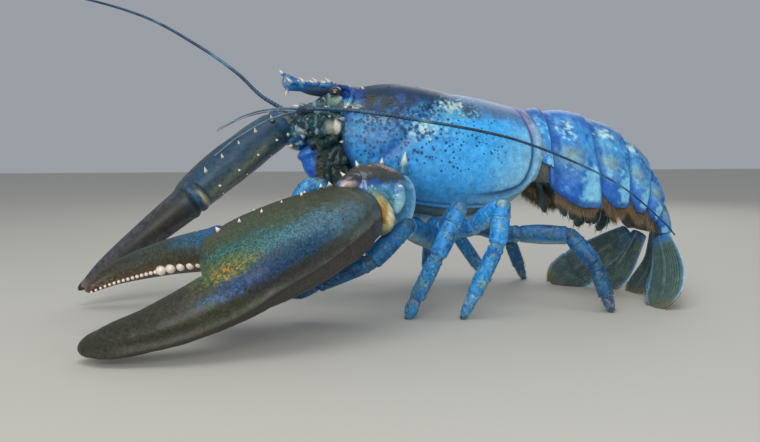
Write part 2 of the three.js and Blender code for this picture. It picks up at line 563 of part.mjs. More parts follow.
Object.entries(LEGS).forEach(([name, [root, hip, knee, wrist, foot]]) => {
  const pair = Number(name[4]);
  const girth = STOUT[pair];
  const keyed = (keys) => keys.map(([t, v]) => [t, v * girth]);
  part(`${name}_upper`, LEG_BLUE, (grow) => [
    loft({
      path: [root, hip, knee.map((v, i) => mix(hip[i], v, 0.55)), knee],
      width: keyed([[0, 5.4], [0.3, 4.6], [0.45, 4.4], [0.7, 4.8], [1, 4.7]]),
      depth: keyed([[0, 6], [0.3, 5], [0.45, 5], [0.7, 5.8], [1, 5.2]]), ends: [0, 0.09], sides: 7, steps: 4,
    }, grow),
  ]);
  part(`${name}_middle`, LEG_BLUE, (grow) => [
    loft({
      path: [knee, wrist],
      width: keyed([[0, 3.6], [0.3, 4.6], [0.8, 4.9], [1, 4.4]]),
      depth: keyed([[0, 3.6], [0.3, 4.9], [0.8, 5.1], [1, 4.4]]), ends: [0.06, 0.12], sides: 7, steps: 3,
    }, grow),
  ]);
  part(`${name}_lower`, LEG_BLUE, (grow) => {
    const up = [1, 0.2, 0.3];
    const shank = loft({
      path: [wrist, foot.map((v, i) => mix(wrist[i], v, 0.62))], up,
      width: keyed([[0, 3.6], [0.2, 4.3], [0.8, 4], [1, 3.4]]),
      depth: keyed([[0, 3.6], [0.2, 4.3], [0.8, 4.1], [1, 3.4]]), ends: [0.08, 0.08], sides: 7, steps: 2,
    }, grow);
    const from = foot.map((v, i) => mix(wrist[i], v, 0.56));
    const offsets = pair <= 2 ? [-1.7, 1.7] : [0];
    const toes = offsets.map((o) =>
      loft({
        path: [[from[0] + o * 0.6, from[1], from[2]], foot.map((v, i) => mix(from[i], v, 0.6) + (i ? 0 : o * 1.2)),
          [foot[0] + o * 0.35, foot[1], foot[2]]], up,
        width: keyed([[0, pair <= 2 ? 2.1 : 3.2], [0.6, pair <= 2 ? 1.8 : 2.4], [1, 1]]),
        depth: keyed([[0, 3.2], [0.6, 2.4], [1, 1]]), ends: [0.05, 0.03], sides: 5, steps: 2,
      }, grow),
    );
    return [shank, ...toes];
  });
});

// Cutting and assembly

const union = (shapes) => wasm.Manifold.union(shapes.map(solidOf));
const floor = solidOf(new THREE.BoxGeometry(2000, 2000, 100).translate(0, 0, -50));

function largest(solid) {
  return solid.decompose().reduce((a, b) => (b.volume() > a.volume() ? b : a));
}

const apart = (a, b) => [0, 1, 2].some((i) => a.max[i] < b.min[i] || b.max[i] < a.min[i]);

function meshOf(name, colour, solid) {
  const { vertProperties, triVerts } = solid.getMesh();
  const geometry = new THREE.BufferGeometry();
  geometry.setAttribute("position", new THREE.BufferAttribute(vertProperties, 3));
  geometry.setIndex(new THREE.BufferAttribute(triVerts, 1));
  const material = new THREE.MeshStandardMaterial({ color: colour, roughness: 0.35, metalness: 0 });
  const mesh = new THREE.Mesh(geometry, material);
  mesh.name = name;
  return mesh;
}

const lobster = new THREE.Group();
const done = [];
for (const { name, colour, make } of parts) {
  let solid = union(make(0)).subtract(floor);
  for (const other of done) {
    if (!apart(solid.boundingBox(), other.grown.boundingBox())) solid = solid.subtract(other.grown);
  }
  lobster.add(meshOf(name, colour, largest(solid)));
  done.push({ name, grown: union(make(GAP)) });
}
lobster.position.set(-CENTRE[0], -CENTRE[1], 0);

export default lobster;
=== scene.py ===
"""The looks of a life-size American lobster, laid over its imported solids.

Lengths are millimetres on the animal: x = 0 is the carapace's rear edge at the back's midline, the
head points to -X, the left side to -Y and the floor is z = 0. framed() puts a point in the frame.
"""

import math

import bpy
import numpy as np
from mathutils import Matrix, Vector


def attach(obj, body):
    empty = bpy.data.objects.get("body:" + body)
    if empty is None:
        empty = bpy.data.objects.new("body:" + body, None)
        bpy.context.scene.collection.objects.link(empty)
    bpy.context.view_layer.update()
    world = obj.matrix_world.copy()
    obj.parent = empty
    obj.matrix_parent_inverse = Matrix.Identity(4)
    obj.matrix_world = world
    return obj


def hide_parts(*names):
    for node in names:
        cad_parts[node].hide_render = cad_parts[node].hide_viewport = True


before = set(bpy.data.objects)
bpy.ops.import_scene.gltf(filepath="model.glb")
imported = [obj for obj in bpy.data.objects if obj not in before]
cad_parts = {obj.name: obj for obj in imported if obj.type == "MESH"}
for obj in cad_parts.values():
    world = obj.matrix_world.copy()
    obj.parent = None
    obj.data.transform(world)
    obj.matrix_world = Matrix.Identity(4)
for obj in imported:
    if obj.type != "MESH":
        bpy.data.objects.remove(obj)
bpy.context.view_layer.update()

# Driving sizes, as in the part's source
MM = 0.001
CENTRE = np.array([-122.9, -7.75, 0.0])  # middle of the animal's box seen from above
CARAPACE_LENGTH = 118
ROSTRUM_LENGTH = 36
CRUSHER_LENGTH = 163
CUTTER_LENGTH = 171
SIDES = {"left": -1, "right": 1}
FLOOR_GAP = 0.6  # height that the tips of bristles and spines keep over the floor
BRISTLE = 0.13  # half the thickness of a bristle


def framed(points):
    return (np.asarray(points, float) - CENTRE) * MM


def in_scene(name, data):
    thing = bpy.data.objects.new(name, data)
    bpy.context.scene.collection.objects.link(thing)
    return thing


# Camera, light and world
CAMERA_AT = (-196, -457.5, 95)
CAMERA_TILT, CAMERA_TURN = -5.3, -13  # degrees below level, and to the right
LAMP_SIZE = 0.6
LAMPS = {  # place in metres and power in watts
    "overhead": ((-0.15, -0.25, 0.85), 2.2),
    "front": ((-0.35, -0.95, 0.4), 5.4),
    "behind": ((0.5, 0.65, 0.6), 1.6),
}
LIT_POINT = Vector((0, 0, 0.06))

camera_data = bpy.data.cameras.new("camera")
camera_data.lens = camera_data.sensor_width = 36  # 53 degrees across the photograph's frame
camera = in_scene("camera", camera_data)
camera.location = framed(CAMERA_AT)
camera.rotation_euler = (math.radians(90 + CAMERA_TILT), 0, math.radians(CAMERA_TURN))
bpy.context.scene.camera = camera
bpy.context.scene.view_settings.view_transform = "Standard"

for name, (at, power) in LAMPS.items():
    lamp = bpy.data.lights.new(name, "AREA")
    lamp.energy, lamp.size = power, LAMP_SIZE
    light = in_scene(name, lamp)
    light.location = at
    light.rotation_euler = (LIT_POINT - Vector(at)).to_track_quat("-Z", "Y").to_euler()

world = bpy.data.worlds.new("studio")
world.use_nodes = True
sky = world.node_tree.nodes["Background"].inputs
sky["Color"].default_value = (0.86, 0.92, 1.0, 1)
sky["Strength"].default_value = 0.38
bpy.context.scene.world = world


# Numbers and curves


def mix(a, b, share):
    return a + (b - a) * share


def unit(vectors):
    return vectors / np.linalg.norm(vectors, axis=-1, keepdims=True)


def rise(value, low, high):
    """0 at low and 1 at high, easing in and out; low may be the larger one."""
    u = np.clip((value - low) / (high - low), 0, 1)
    return u * u * (3 - 2 * u)


def bell(value, middle, width):
    return np.exp(-(((value - middle) / width) ** 2))


def bulge(value, power):
    return np.sign(value) * np.abs(value) ** (2 / power)


def through(keys):
    """A smooth curve through keys (t, value), level beyond its ends."""
    if np.isscalar(keys):
        return lambda t: np.full(np.shape(t), float(keys))
    at, value = np.array(keys, float).T
    last = len(at) - 1
    before, after = np.maximum(np.arange(last + 1) - 1, 0), np.minimum(np.arange(last + 1) + 1, last)
    slope = (value[after] - value[before]) / (at[after] - at[before])

    def curve(t):
        t = np.clip(t, at[0], at[-1])
        i = np.clip(np.searchsorted(at, t, side="right") - 1, 0, last - 1)
        span = at[i + 1] - at[i]
        u = (t - at[i]) / span
        ease = mix(value[i], value[i + 1], u * u * (3 - 2 * u))
        return ease + span * u * (1 - u) * ((1 - u) * slope[i] - u * slope[i + 1])

    return curve


class Line:
    """A smooth path through points, by share of its length."""

    def __init__(self, points):
        points = np.array(points, float)
        steps = np.linalg.norm(np.diff(points, axis=0), axis=1)
        at = np.concatenate([[0], np.cumsum(steps)])
        self.whole = at[-1]
        self.axes = [through(list(zip(at / at[-1], points[:, axis]))) for axis in range(3)]

    def point(self, t):
        return np.stack([axis(t) for axis in self.axes], -1)

    def heading(self, t):
        return unit(self.point(np.minimum(t + 0.01, 1)) - self.point(np.maximum(t - 0.01, 0)))

    def level(self, along, values, axis):
        """The line's place on one axis, read where its place on another has these values."""
        points = self.point(np.linspace(0, 1, 60))
        return np.interp(values, points[:, along], points[:, axis])


def mottle(points, grain, seed=0):
    """Smooth random values from -1 to 1, with a new one about every grain millimetres."""
    place = points / grain + seed * 7.31
    place += 0.5 * np.sin(place[:, [2, 0, 1]] * 2.1)  # bends the cells, so no straight edge shows
    cell = np.floor(place)
    u = place - cell
    u = u * u * (3 - 2 * u)
    total = np.zeros(len(points))
    for corner in np.ndindex(2, 2, 2):
        key = (cell + corner) @ np.array([127.1, 311.7, 74.7])
        value = np.modf(np.abs(np.sin(key) * 43758.5453))[0] * 2 - 1
        total += value * np.prod(np.where(corner, u, 1 - u), axis=1)
    return total


def marbling(points, grain, seed=0):
    return mottle(points, grain, seed) * 0.65 + mottle(points, grain * 0.45, seed + 3) * 0.35


# Colours


def linear(hexa):
    """An sRGB hex colour as linear red, green and blue."""
    values = np.array([int(hexa[i : i + 2], 16) / 255 for i in (1, 3, 5)])
    return np.where(values <= 0.04045, values / 12.92, ((values + 0.055) / 1.055) ** 2.4)


def washed(colour, *layers):
    """A colour for each corner with layers of (hex, share) laid over it."""
    for hexa, share in layers:
        colour = colour + (linear(hexa) - colour) * np.clip(share, 0, 1)[:, None]
    return colour


def layered(corners, base, *layers):
    return washed(np.tile(linear(base), (len(corners), 1)), *layers)


def lighter(colour):
    return colour * 1.3 + 0.003


def blot(places, centre, reach, ragged=0):
    """A soft-edged patch round centre; ragged wanders its edge."""
    away = np.linalg.norm((places - np.array(centre)) / np.array(reach, float), axis=1)
    return rise(away + ragged, 1.25, 0.6)


# Forms


class Form:
    """A closed form: corners in millimetres, faces, and how far along and round it each corner lies."""

    def __init__(self, points, faces, along=None, around=None, normals=None):
        self.points, self.faces = points, faces
        self.along = np.zeros(len(points)) if along is None else along
        self.around = np.zeros(len(points)) if around is None else around
        self.normals = normals


def outward(form):
    """The same form, turned over if its faces point inwards."""
    total = 0.0
    for size in (3, 4):
        faces = np.array([f for f in form.faces if len(f) == size])
        for k in range(1, size - 1) if len(faces) else ():
            a, b, c = (form.points[faces[:, i]] for i in (0, k, k + 1))
            total += np.einsum("ij,ij->", a, np.cross(b, c))
    if total < 0:
        form.faces = [f[::-1] for f in form.faces]
    return form


def together(*forms):
    faces, base = [], 0
    for form in forms:
        faces += [[i + base for i in f] for f in form.faces]
        base += len(form.points)
    joined = {key: np.concatenate([getattr(f, key) for f in forms]) for key in ("points", "along", "around")}
    return Form(faces=faces, **joined)


def rows_of(steps, ends, rounding=7):
    """Rows (t, share of full size) from end to end, closing over a quarter turn at each rounded end."""
    turn = np.linspace(0, math.pi / 2, rounding, endpoint=False)
    caps = [
        [(end * (1 - math.cos(a)), math.sin(a)) for a in turn] if end else [(0.0, 0.0)]
        for end in ends
    ]
    middle = [(t, 1.0) for t in np.linspace(ends[0], 1 - ends[1], steps + 1)]
    return caps[0] + middle + [(1 - t, k) for t, k in reversed(caps[1])]


def net(rows, sides, place):
    """Rings laid over a form by place(t, share, angle), closed by a pole at each end."""
    t, share = np.array(rows).T
    angle = np.linspace(0, 2 * math.pi, sides, endpoint=False)
    along, around = np.meshgrid(t[1:-1], angle, indexing="ij")
    size = np.repeat(share[1:-1, None], sides, 1)
    rings = place(along, size, around).reshape(-1, 3)
    poles = place(t[[0, -1]], np.zeros(2), np.zeros(2))
    points = np.concatenate([poles[:1], rings, poles[1:]])
    index = 1 + np.arange(len(rings)).reshape(-1, sides)
    after = np.roll(index, -1, 1)
    faces = np.stack([index[:-1], after[:-1], after[1:], index[1:]], -1).reshape(-1, 4).tolist()
    last = len(points) - 1
    faces += [[0, int(b), int(a)] for a, b in zip(index[0], after[0])]
    faces += [[last, int(a), int(b)] for a, b in zip(index[-1], after[-1])]
    whole_along = np.concatenate([[t[0]], along.ravel(), [t[-1]]])
    whole_around = np.concatenate([[0], around.ravel(), [0]])
    return outward(Form(points, faces, whole_along, whole_around))


def ridges(*bands):
    """Relief of a lofted form: rings round it, raised or sunk, as (height, share of its length, width)."""
    return lambda t, angle: sum(height * bell(t, at, width) for height, at, width in bands)


def loft(path, width, depth=None, up=(0, 0, 1), square=2, ends=(0.08, 0.08), sides=40, steps=40, relief=None):
    """A closed form along a path, width across it and depth along up; relief(t, angle) stands proud of it."""
    line, across, deep = Line(path), through(width), through(width if depth is None else depth)

    def place(t, share, angle):
        heading = line.heading(t)
        side = unit(np.cross(np.array(up, float), heading))
        top = np.cross(heading, side)
        proud = relief(t, angle) if relief else 0.0
        out = (across(t) + proud) * share * bulge(np.cos(angle), square)
        over = (deep(t) + proud) * share * bulge(np.sin(angle), square)
        return line.point(t) + side * out[..., None] + top * over[..., None]

    return net(rows_of(steps, ends), sides, place)


def slab(around, along, place):
    """A curved plate: place(u, s, depth), u from -1 to 1, s from 0 to 1, depth 0 inside and 1 outside."""
    u = np.sin(np.linspace(-1, 1, around + 1) * math.pi / 2)
    s = 0.5 - 0.5 * np.cos(np.linspace(0, 1, along + 1) * math.pi)
    grid_s, grid_u = np.meshgrid(s, u, indexing="ij")
    outer, inner = place(grid_u, grid_s, 1.0), place(grid_u, grid_s, 0.0)
    count = grid_u.size
    points = np.concatenate([outer.reshape(-1, 3), inner.reshape(-1, 3)])
    index = np.arange(count).reshape(grid_u.shape)
    quads = np.stack([index[:-1, :-1], index[:-1, 1:], index[1:, 1:], index[1:, :-1]], -1).reshape(-1, 4)
    faces = quads.tolist() + (quads[:, ::-1] + count).tolist()
    rim = np.concatenate([index[0, :-1], index[:-1, -1], index[-1, :0:-1], index[:0:-1, 0]])
    after = np.roll(rim, -1)
    faces += np.stack([after, rim, rim + count, after + count], -1).tolist()
    return outward(Form(points, faces, np.tile(grid_s.ravel(), 2), np.tile(grid_u.ravel(), 2)))


# Meshes and pieces


def mesh_of(name, form):
    mesh = bpy.data.meshes.new(name)
    mesh.from_pydata(framed(form.points), [], form.faces)
    mesh.update()
    return mesh


def finished(thing):
    """The mesh that an object's modifiers make of it; the object itself goes."""
    mesh = bpy.data.meshes.new_from_object(thing.evaluated_get(bpy.context.evaluated_depsgraph_get()))
    bpy.data.objects.remove(thing)
    return mesh


def read(items, field, width=1, kind=float):
    values = np.zeros(len(items) * width, kind)
    items.foreach_get(field, values)
    return values.reshape(-1, width) if width > 1 else values


def store(mesh, name, kind, field, values):
    attribute = mesh.attributes.new(name, kind, "POINT")
    attribute.data.foreach_set(field, np.asarray(values, np.float32).ravel())


def corners_of(mesh):
    """A finished mesh's corners, back in millimetres on the animal."""
    return read(mesh.vertices, "co", 3) / MM + CENTRE


def fused(name, forms, voxel, rounds):
    """The forms as one skin: joined by a voxel remesh, eased, and read back as a form with normals."""
    thing = in_scene(name, mesh_of(name, together(*forms)))
    remesh = thing.modifiers.new("skin", "REMESH")
    remesh.mode, remesh.voxel_size = "VOXEL", voxel * MM
    ease = thing.modifiers.new("ease", "SMOOTH")
    ease.factor, ease.iterations = 0.5, rounds
    skin = finished(thing)
    corners = read(skin.loops, "vertex_index", kind=int)
    sizes = read(skin.polygons, "loop_total", kind=int)
    faces = [f.tolist() for f in np.split(corners, np.cumsum(sizes)[:-1])]
    return Form(corners_of(skin), faces, normals=read(skin.vertex_normals, "vector", 3))


def keep_piece(name, mesh, material, slot, nodes):
    """Makes a finished mesh a piece of the model that stands for the named CAD nodes."""
    piece = in_scene(name, mesh)
    mesh.materials.clear()
    mesh.materials.append(material)
    mesh.polygons.foreach_set("use_smooth", [True] * len(mesh.polygons))
    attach(piece, "root")
    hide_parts(*nodes)
    return piece


def paint(mesh, tint, fleck=None, speck=None):
    """Stores a mesh's colours: tint, the fine flecks' colour (a little lighter unless given) and speckles."""
    for key, colour in (("tint", tint), ("fleck", lighter(tint) if fleck is None else fleck)):
        store(mesh, key, "FLOAT_COLOR", "color", np.column_stack([colour, np.ones(len(tint))]))
    store(mesh, "speck", "FLOAT", "value", np.zeros(len(tint)) if speck is None else speck)


def add_piece(name, form, material, slot, nodes, tint, speck=None, fleck=None):
    mesh = mesh_of(name, form)
    paint(mesh, tint, fleck, speck)
    return keep_piece(name, mesh, material, slot, nodes)


# Materials
FLECK = 1.0  # size in mm of the fine flecks that every shell shows


def add_node(tree, kind, links=None, **settings):
    """Adds a node: links feed its inputs from sockets or hold plain values, settings are its properties."""
    node = tree.nodes.new(kind)
    for key, value in settings.items():
        setattr(node, key, value)
    for key, value in (links or {}).items():
        socket = node.inputs[key]
        if isinstance(value, bpy.types.NodeSocket):
            tree.links.new(value, socket)
        else:
            socket.default_value = value
    return node


def calc(tree, operation, *values):
    return add_node(tree, "ShaderNodeMath", dict(enumerate(values)), operation=operation).outputs[0]


def ranged(tree, value, low, high, start=0, end=1):
    """Moves a value from between low and high to between start and end."""
    span = {"Value": value, "From Min": low, "From Max": high, "To Min": start, "To Max": end}
    return add_node(tree, "ShaderNodeMapRange", span).outputs["Result"]


def pattern(tree, kind, place, size, **settings):
    """A noise or cell pattern with features of that size in mm."""
    settings = {"Vector": place, "Scale": 1 / (size * MM), **settings}
    return add_node(tree, "ShaderNodeTex" + kind, settings).outputs


def blend(tree, share, under, over):
    return add_node(tree, "ShaderNodeMix", {0: share, 6: under, 7: over}, data_type="RGBA").outputs[2]


def painted(tree, name, output):
    return add_node(tree, "ShaderNodeAttribute", attribute_name=name).outputs[output]


def bare_material(name, **shader):
    material = bpy.data.materials.new(name)
    material.use_nodes = True
    principled = material.node_tree.nodes["Principled BSDF"]
    for key, value in shader.items():
        principled.inputs[key.replace("_", " ")].default_value = value
    return material, material.node_tree, principled


def chitin(name, speck_hex, grain, speck, rough, pits, **shader):
    """Lobster shell: chitin hardened with lime, smooth and wet, flecked, marbled, speckled and finely pitted.

    grain is the size of the fine marbling, speck of a speckle's cell and pits of a pit's cell, in mm.
    """
    material, tree, principled = bare_material(name, **shader)
    place = add_node(tree, "ShaderNodeTexCoord").outputs["Object"]
    grit = pattern(tree, "Noise", place, FLECK, Detail=3, Roughness=0.6)["Fac"]
    cloud = pattern(tree, "Noise", place, grain, Detail=5, Roughness=0.62)["Fac"]
    tint, fleck = painted(tree, "tint", "Color"), painted(tree, "fleck", "Color")
    flecked = blend(tree, ranged(tree, grit, 0.38, 0.66), tint, fleck)
    shade = ranged(tree, cloud, 0.3, 0.7, 0.72, 1.26)
    marbled = add_node(tree, "ShaderNodeVectorMath", {0: flecked, "Scale": shade}, operation="SCALE")

    cells = pattern(tree, "Voronoi", place, speck)
    random = add_node(tree, "ShaderNodeSeparateColor", {"Color": cells["Color"]}).outputs["Red"]
    wide = calc(tree, "MULTIPLY_ADD", random, 0.5, 0.06)
    radius = calc(tree, "MULTIPLY", wide, painted(tree, "speck", "Fac"))
    spot = ranged(tree, calc(tree, "SUBTRACT", cells["Distance"], radius), 0.06, -0.08, 0, 0.85)

    pores = pattern(tree, "Voronoi", place, pits)["Distance"]
    height = calc(tree, "MULTIPLY_ADD", cloud, 1.2, ranged(tree, pores, 0, 0.45))
    bump = add_node(tree, "ShaderNodeBump", {"Strength": 0.35, "Distance": 0.12 * MM, "Height": height})
    for key, socket in (
        ("Base Color", blend(tree, spot, marbled.outputs["Vector"], (*linear(speck_hex), 1))),
        ("Roughness", ranged(tree, cloud, 0.3, 0.7, *rough)),
        ("Normal", bump.outputs["Normal"]),
    ):
        tree.links.new(socket, principled.inputs[key])
    return material


def tipped(name, root_hex, tip_hex, turn, rough=0.4, **shader):
    """A spine, tooth or bristle: its colour turns from the root's to the tip's at a share of its length."""
    material, tree, principled = bare_material(name, Roughness=rough, **shader)
    place = add_node(tree, "ShaderNodeTexCoord").outputs["Object"]
    cloud = pattern(tree, "Noise", place, 1.5, Detail=3)["Fac"]
    moved = calc(tree, "MULTIPLY_ADD", cloud, 0.3, painted(tree, "rise", "Fac"))
    share = ranged(tree, moved, turn, turn + 0.35)
    colour = blend(tree, share, (*linear(root_hex), 1), (*linear(tip_hex), 1))
    tree.links.new(colour, principled.inputs["Base Color"])
    return material


def shell(name, speck_hex, grain, speck, rough, pits, specular, coat, coat_rough=0.2):
    """Chitin with a soft gloss in a thin wet coat."""
    gloss = dict(Specular_IOR_Level=specular, Coat_Weight=coat, Coat_Roughness=coat_rough)
    return chitin(name, speck_hex, grain, speck, rough, pits, **gloss)


# Chitin shell with a clear wet gloss: bright, marbled blue with navy speckles
BACK_SHELL = shell("carapace_chitin", "#093c6c", 3.2, 2.3, (0.3, 0.46), 0.9, 0.35, 0.06)
TAIL_SHELL = shell("tail_chitin", "#124482", 3.2, 2.6, (0.3, 0.48), 0.9, 0.38, 0.08)
# The claws' shell is thicker and more worn, so it is duller, with a coarse olive and brown marbling
CLAW_SHELL = shell("claw_chitin", "#1b1e19", 2.6, 1.7, (0.36, 0.56), 0.8, 0.35, 0.08, coat_rough=0.25)
# The wrist is rubbed smooth and shines wet
WRIST_SHELL = shell("wrist_chitin", "#15191b", 2.6, 1.9, (0.14, 0.3), 0.9, 0.5, 0.5, coat_rough=0.08)
# The legs' shell is thin and even, a dull blue with small dark spots
LEG_SHELL = shell("leg_chitin", "#0b2c54", 2.0, 1.9, (0.34, 0.52), 0.8, 0.35, 0.05)
# The fan's blades are thin horn, dull and streaked
FAN_HORN = chitin("fan_horn", "#22312c", 1.8, 2.2, (0.34, 0.52), 0.7)
# Feelers are ringed tubes of thin dark chitin
FEELER_HORN = chitin("feeler_horn", "#101c2c", 1.0, 1.4, (0.3, 0.45), 0.5)
# Joint skin is soft uncalcified cuticle: damp, creased and a little see-through to light
DAMP = dict(Subsurface_Weight=0.15, Subsurface_Scale=0.003)
JOINT_SKIN = chitin("joint_cuticle", "#5d5337", 1.6, 2.4, (0.34, 0.5), 0.6, **DAMP)
# The cornea is clear smooth cuticle over black pigment: a deep gloss
CORNEA = chitin("cornea", "#050507", 1.5, 2.0, (0.05, 0.09), 0.35, Coat_Weight=1.0, Coat_Roughness=0.03)
# Spines take their shell's colour at the root and are worn to cream at the tip
SPINE_HORN = tipped("spine_chitin", "#3b7fb4", "#efdccb", 0.35)
BROWN_SPINE_HORN = tipped("claw_spine_chitin", "#4b5148", "#f0e6d2", 0.3)
RIM_SPINE = tipped("rim_spine_chitin", "#2f7090", "#cfe0dc", 0.5)
# Teeth are hard white lime, polished by use and stained at the root
TOOTH_LIME = tipped("tooth_lime", "#ab9480", "#efe4d4", 0.0, rough=0.28, Coat_Weight=0.3)
# Bristles are dull threads of chitin: brown under the tail, dark at the mouth, pale on the legs
BRISTLE_BROWN = tipped("brown_bristle", "#6b5a44", "#b09a76", 0.5, rough=0.6)
BRISTLE_DARK = tipped("dark_bristle", "#26302e", "#7f8876", 0.35, rough=0.6)
BRISTLE_PALE = tipped("pale_bristle", "#4f6c7c", "#a9b6ac", 0.4, rough=0.6)


# What repeats: one pointed form on every point of a bare mesh, and a ringed tube along a path


def open_tree(name, takes, gives):
    """A new node group, with its inputs as (name, kind) and one geometry output."""
    tree = bpy.data.node_groups.new(name, "GeometryNodeTree")
    for label, kind in takes:
        tree.interface.new_socket(label, in_out="INPUT", socket_type="NodeSocket" + kind)
    tree.interface.new_socket(gives, in_out="OUTPUT", socket_type="NodeSocketGeometry")
    return tree, add_node(tree, "NodeGroupInput").outputs


def close_tree(tree, gives, instances, material):
    """Makes what the group has built real, and gives it its material."""
    real = add_node(tree, "GeometryNodeRealizeInstances", {0: instances}).outputs[0]
    coated = add_node(tree, "GeometryNodeSetMaterial", {"Geometry": real, "Material": material}).outputs[0]
    add_node(tree, "NodeGroupOutput", {gives: coated})
    return tree


def carried(tree, name, kind="FLOAT"):
    return add_node(tree, "GeometryNodeInputNamedAttribute", {"Name": name}, data_type=kind).outputs[0]


def growth_tree():
    """Spines, teeth and bristles: a cone or knob stands on each point, with its own aim, length and girth."""
    tree, given = open_tree(
        "growth",
        [("Points", "Geometry"), ("Sides", "Int"), ("Rings", "Int"), ("Bow", "Float"), ("Fullness", "Float"),
         ("Blunt tip", "Float"), ("Seed", "Int"), ("Rounded", "Bool"), ("Material", "Material")],
        "Growth",
    )
    sides, rings, blunt = given["Sides"], given["Rings"], given["Blunt tip"]
    size = {"Vertices": sides, "Side Segments": rings}
    size |= {"Radius Top": blunt, "Radius Bottom": 1.0, "Depth": 1.0}
    cone = add_node(tree, "GeometryNodeMeshCone", size).outputs["Mesh"]
    size = {"Segments": sides, "Rings": rings, "Radius": 1.0}
    knob = add_node(tree, "GeometryNodeMeshUVSphere", size).outputs["Mesh"]
    either = {"Switch": given["Rounded"], "False": cone, "True": knob}
    shape = add_node(tree, "GeometryNodeSwitch", either).outputs[0]

    spot = add_node(tree, "GeometryNodeInputPosition").outputs[0]
    x, y, z = add_node(tree, "ShaderNodeSeparateXYZ", {0: spot}).outputs
    hump = calc(tree, "MULTIPLY", z, calc(tree, "SUBTRACT", 1.0, z))
    swell = calc(tree, "MULTIPLY_ADD", hump, given["Fullness"], 1.0)
    lean = calc(tree, "MULTIPLY", calc(tree, "MULTIPLY", z, z), given["Bow"])
    swollen = {"X": calc(tree, "MULTIPLY_ADD", x, swell, lean), "Y": calc(tree, "MULTIPLY", y, swell), "Z": z}
    place = add_node(tree, "ShaderNodeCombineXYZ", swollen).outputs[0]
    bowed = add_node(tree, "GeometryNodeSetPosition", {"Geometry": shape, "Position": place}).outputs[0]
    keyed = {"Geometry": bowed, "Name": "rise", "Value": z}
    kind = dict(data_type="FLOAT", domain="POINT")
    height = add_node(tree, "GeometryNodeStoreNamedAttribute", keyed, **kind).outputs[0]

    aim = {"Vector": carried(tree, "aim", "FLOAT_VECTOR")}
    turn = add_node(tree, "FunctionNodeAlignRotationToVector", aim, axis="Z").outputs[0]
    girth, length = carried(tree, "girth"), carried(tree, "length")
    size = add_node(tree, "ShaderNodeCombineXYZ", {"X": girth, "Y": girth, "Z": length}).outputs[0]
    spread = {"Points": given["Points"], "Instance": height, "Rotation": turn, "Scale": size}
    stood = add_node(tree, "GeometryNodeInstanceOnPoints", spread).outputs[0]
    whole_turn = {2: 0.0, 3: 2 * math.pi, "Seed": given["Seed"]}
    spin = add_node(tree, "FunctionNodeRandomValue", whole_turn, data_type="FLOAT").outputs[1]
    about = add_node(tree, "ShaderNodeCombineXYZ", {"Z": spin}).outputs[0]
    spinning = {"Instances": stood, "Rotation": about, "Local Space": True}
    spun = add_node(tree, "GeometryNodeRotateInstances", spinning).outputs[0]
    return close_tree(tree, "Growth", spun, given["Material"])


def feeler_tree():
    """A feeler: a ringed tube along a bare path, thick as the path's own girth says."""
    tree, given = open_tree(
        "feeler",
        [("Path", "Geometry"), ("Ring length", "Float"), ("Ring depth", "Float"), ("Step", "Float"),
         ("Sides", "Int"), ("Material", "Material")],
        "Feeler",
    )
    curve = add_node(tree, "GeometryNodeMeshToCurve", {"Mesh": given["Path"]}).outputs[0]
    stepped = {"Curve": curve, "Length": given["Step"]}
    even = add_node(tree, "GeometryNodeResampleCurve", stepped, mode="LENGTH").outputs[0]
    gone = add_node(tree, "GeometryNodeSplineParameter").outputs["Length"]
    wave = calc(tree, "PINGPONG", calc(tree, "DIVIDE", gone, given["Ring length"]), 1.0)
    ring = calc(tree, "MULTIPLY_ADD", wave, given["Ring depth"], 1.0)
    size = calc(tree, "MULTIPLY", ring, carried(tree, "girth"))
    circle = {"Resolution": given["Sides"], "Radius": 1.0}
    profile = add_node(tree, "GeometryNodeCurvePrimitiveCircle", circle).outputs[0]
    swept = {"Curve": even, "Profile Curve": profile, "Scale": size, "Fill Caps": True}
    tube = add_node(tree, "GeometryNodeCurveToMesh", swept).outputs[0]
    return close_tree(tree, "Feeler", tube, given["Material"])


GROWTH, FEELER_TREE = growth_tree(), feeler_tree()
chance = np.random.default_rng(11)


def modelled(name, bare, tree, settings):
    """The mesh that a node group makes of a bare one, with its inputs set by name."""
    holder = in_scene(bare.name, bare)
    modifier = holder.modifiers.new(tree.name, "NODES")
    modifier.node_group = tree
    inputs = {s.name: s.identifier for s in tree.interface.items_tree if s.in_out == "INPUT"}
    for key, value in settings.items():
        modifier[inputs[key]] = value
    mesh = finished(holder)
    mesh.name = name
    return mesh


def grow(
    name, roots, aims, length, girth, material, slot, nodes,
    sides=7, rings=3, bow=0.0, fullness=0.6, blunt=0.03, rounded=False, roots_uv=None,
):
    """Grows a pointed form of that length and girth in mm at each root; roots_uv are their places to bake."""
    roots, aims = np.asarray(roots, float), unit(np.asarray(aims, float))
    # what would reach through the floor lies along it instead
    level = np.clip(aims[:, 2], (FLOOR_GAP - roots[:, 2]) / np.asarray(length, float), 1)
    flat = (1 - np.clip(level, -1, 1) ** 2) / np.maximum(1 - aims[:, 2] ** 2, 1e-6)
    aims[:, :2] *= np.sqrt(flat)[:, None]
    aims[:, 2] = level
    bare = bpy.data.meshes.new(name + "_roots")
    bare.from_pydata(framed(roots), [], [])
    store(bare, "aim", "FLOAT_VECTOR", "vector", aims)
    for key, value in (("length", length), ("girth", girth)):
        store(bare, key, "FLOAT", "value", np.broadcast_to(np.asarray(value, float) * MM, len(roots)))
    settings = {
        "Sides": sides, "Rings": rings, "Bow": bow, "Fullness": fullness, "Blunt tip": blunt,
        "Seed": 5, "Rounded": rounded, "Material": material,
    }
    mesh = modelled(name, bare, GROWTH, settings)
    if roots_uv is not None:
        bake_map(mesh, np.asarray(roots_uv, float))
    return keep_piece(name, mesh, material, slot, nodes)


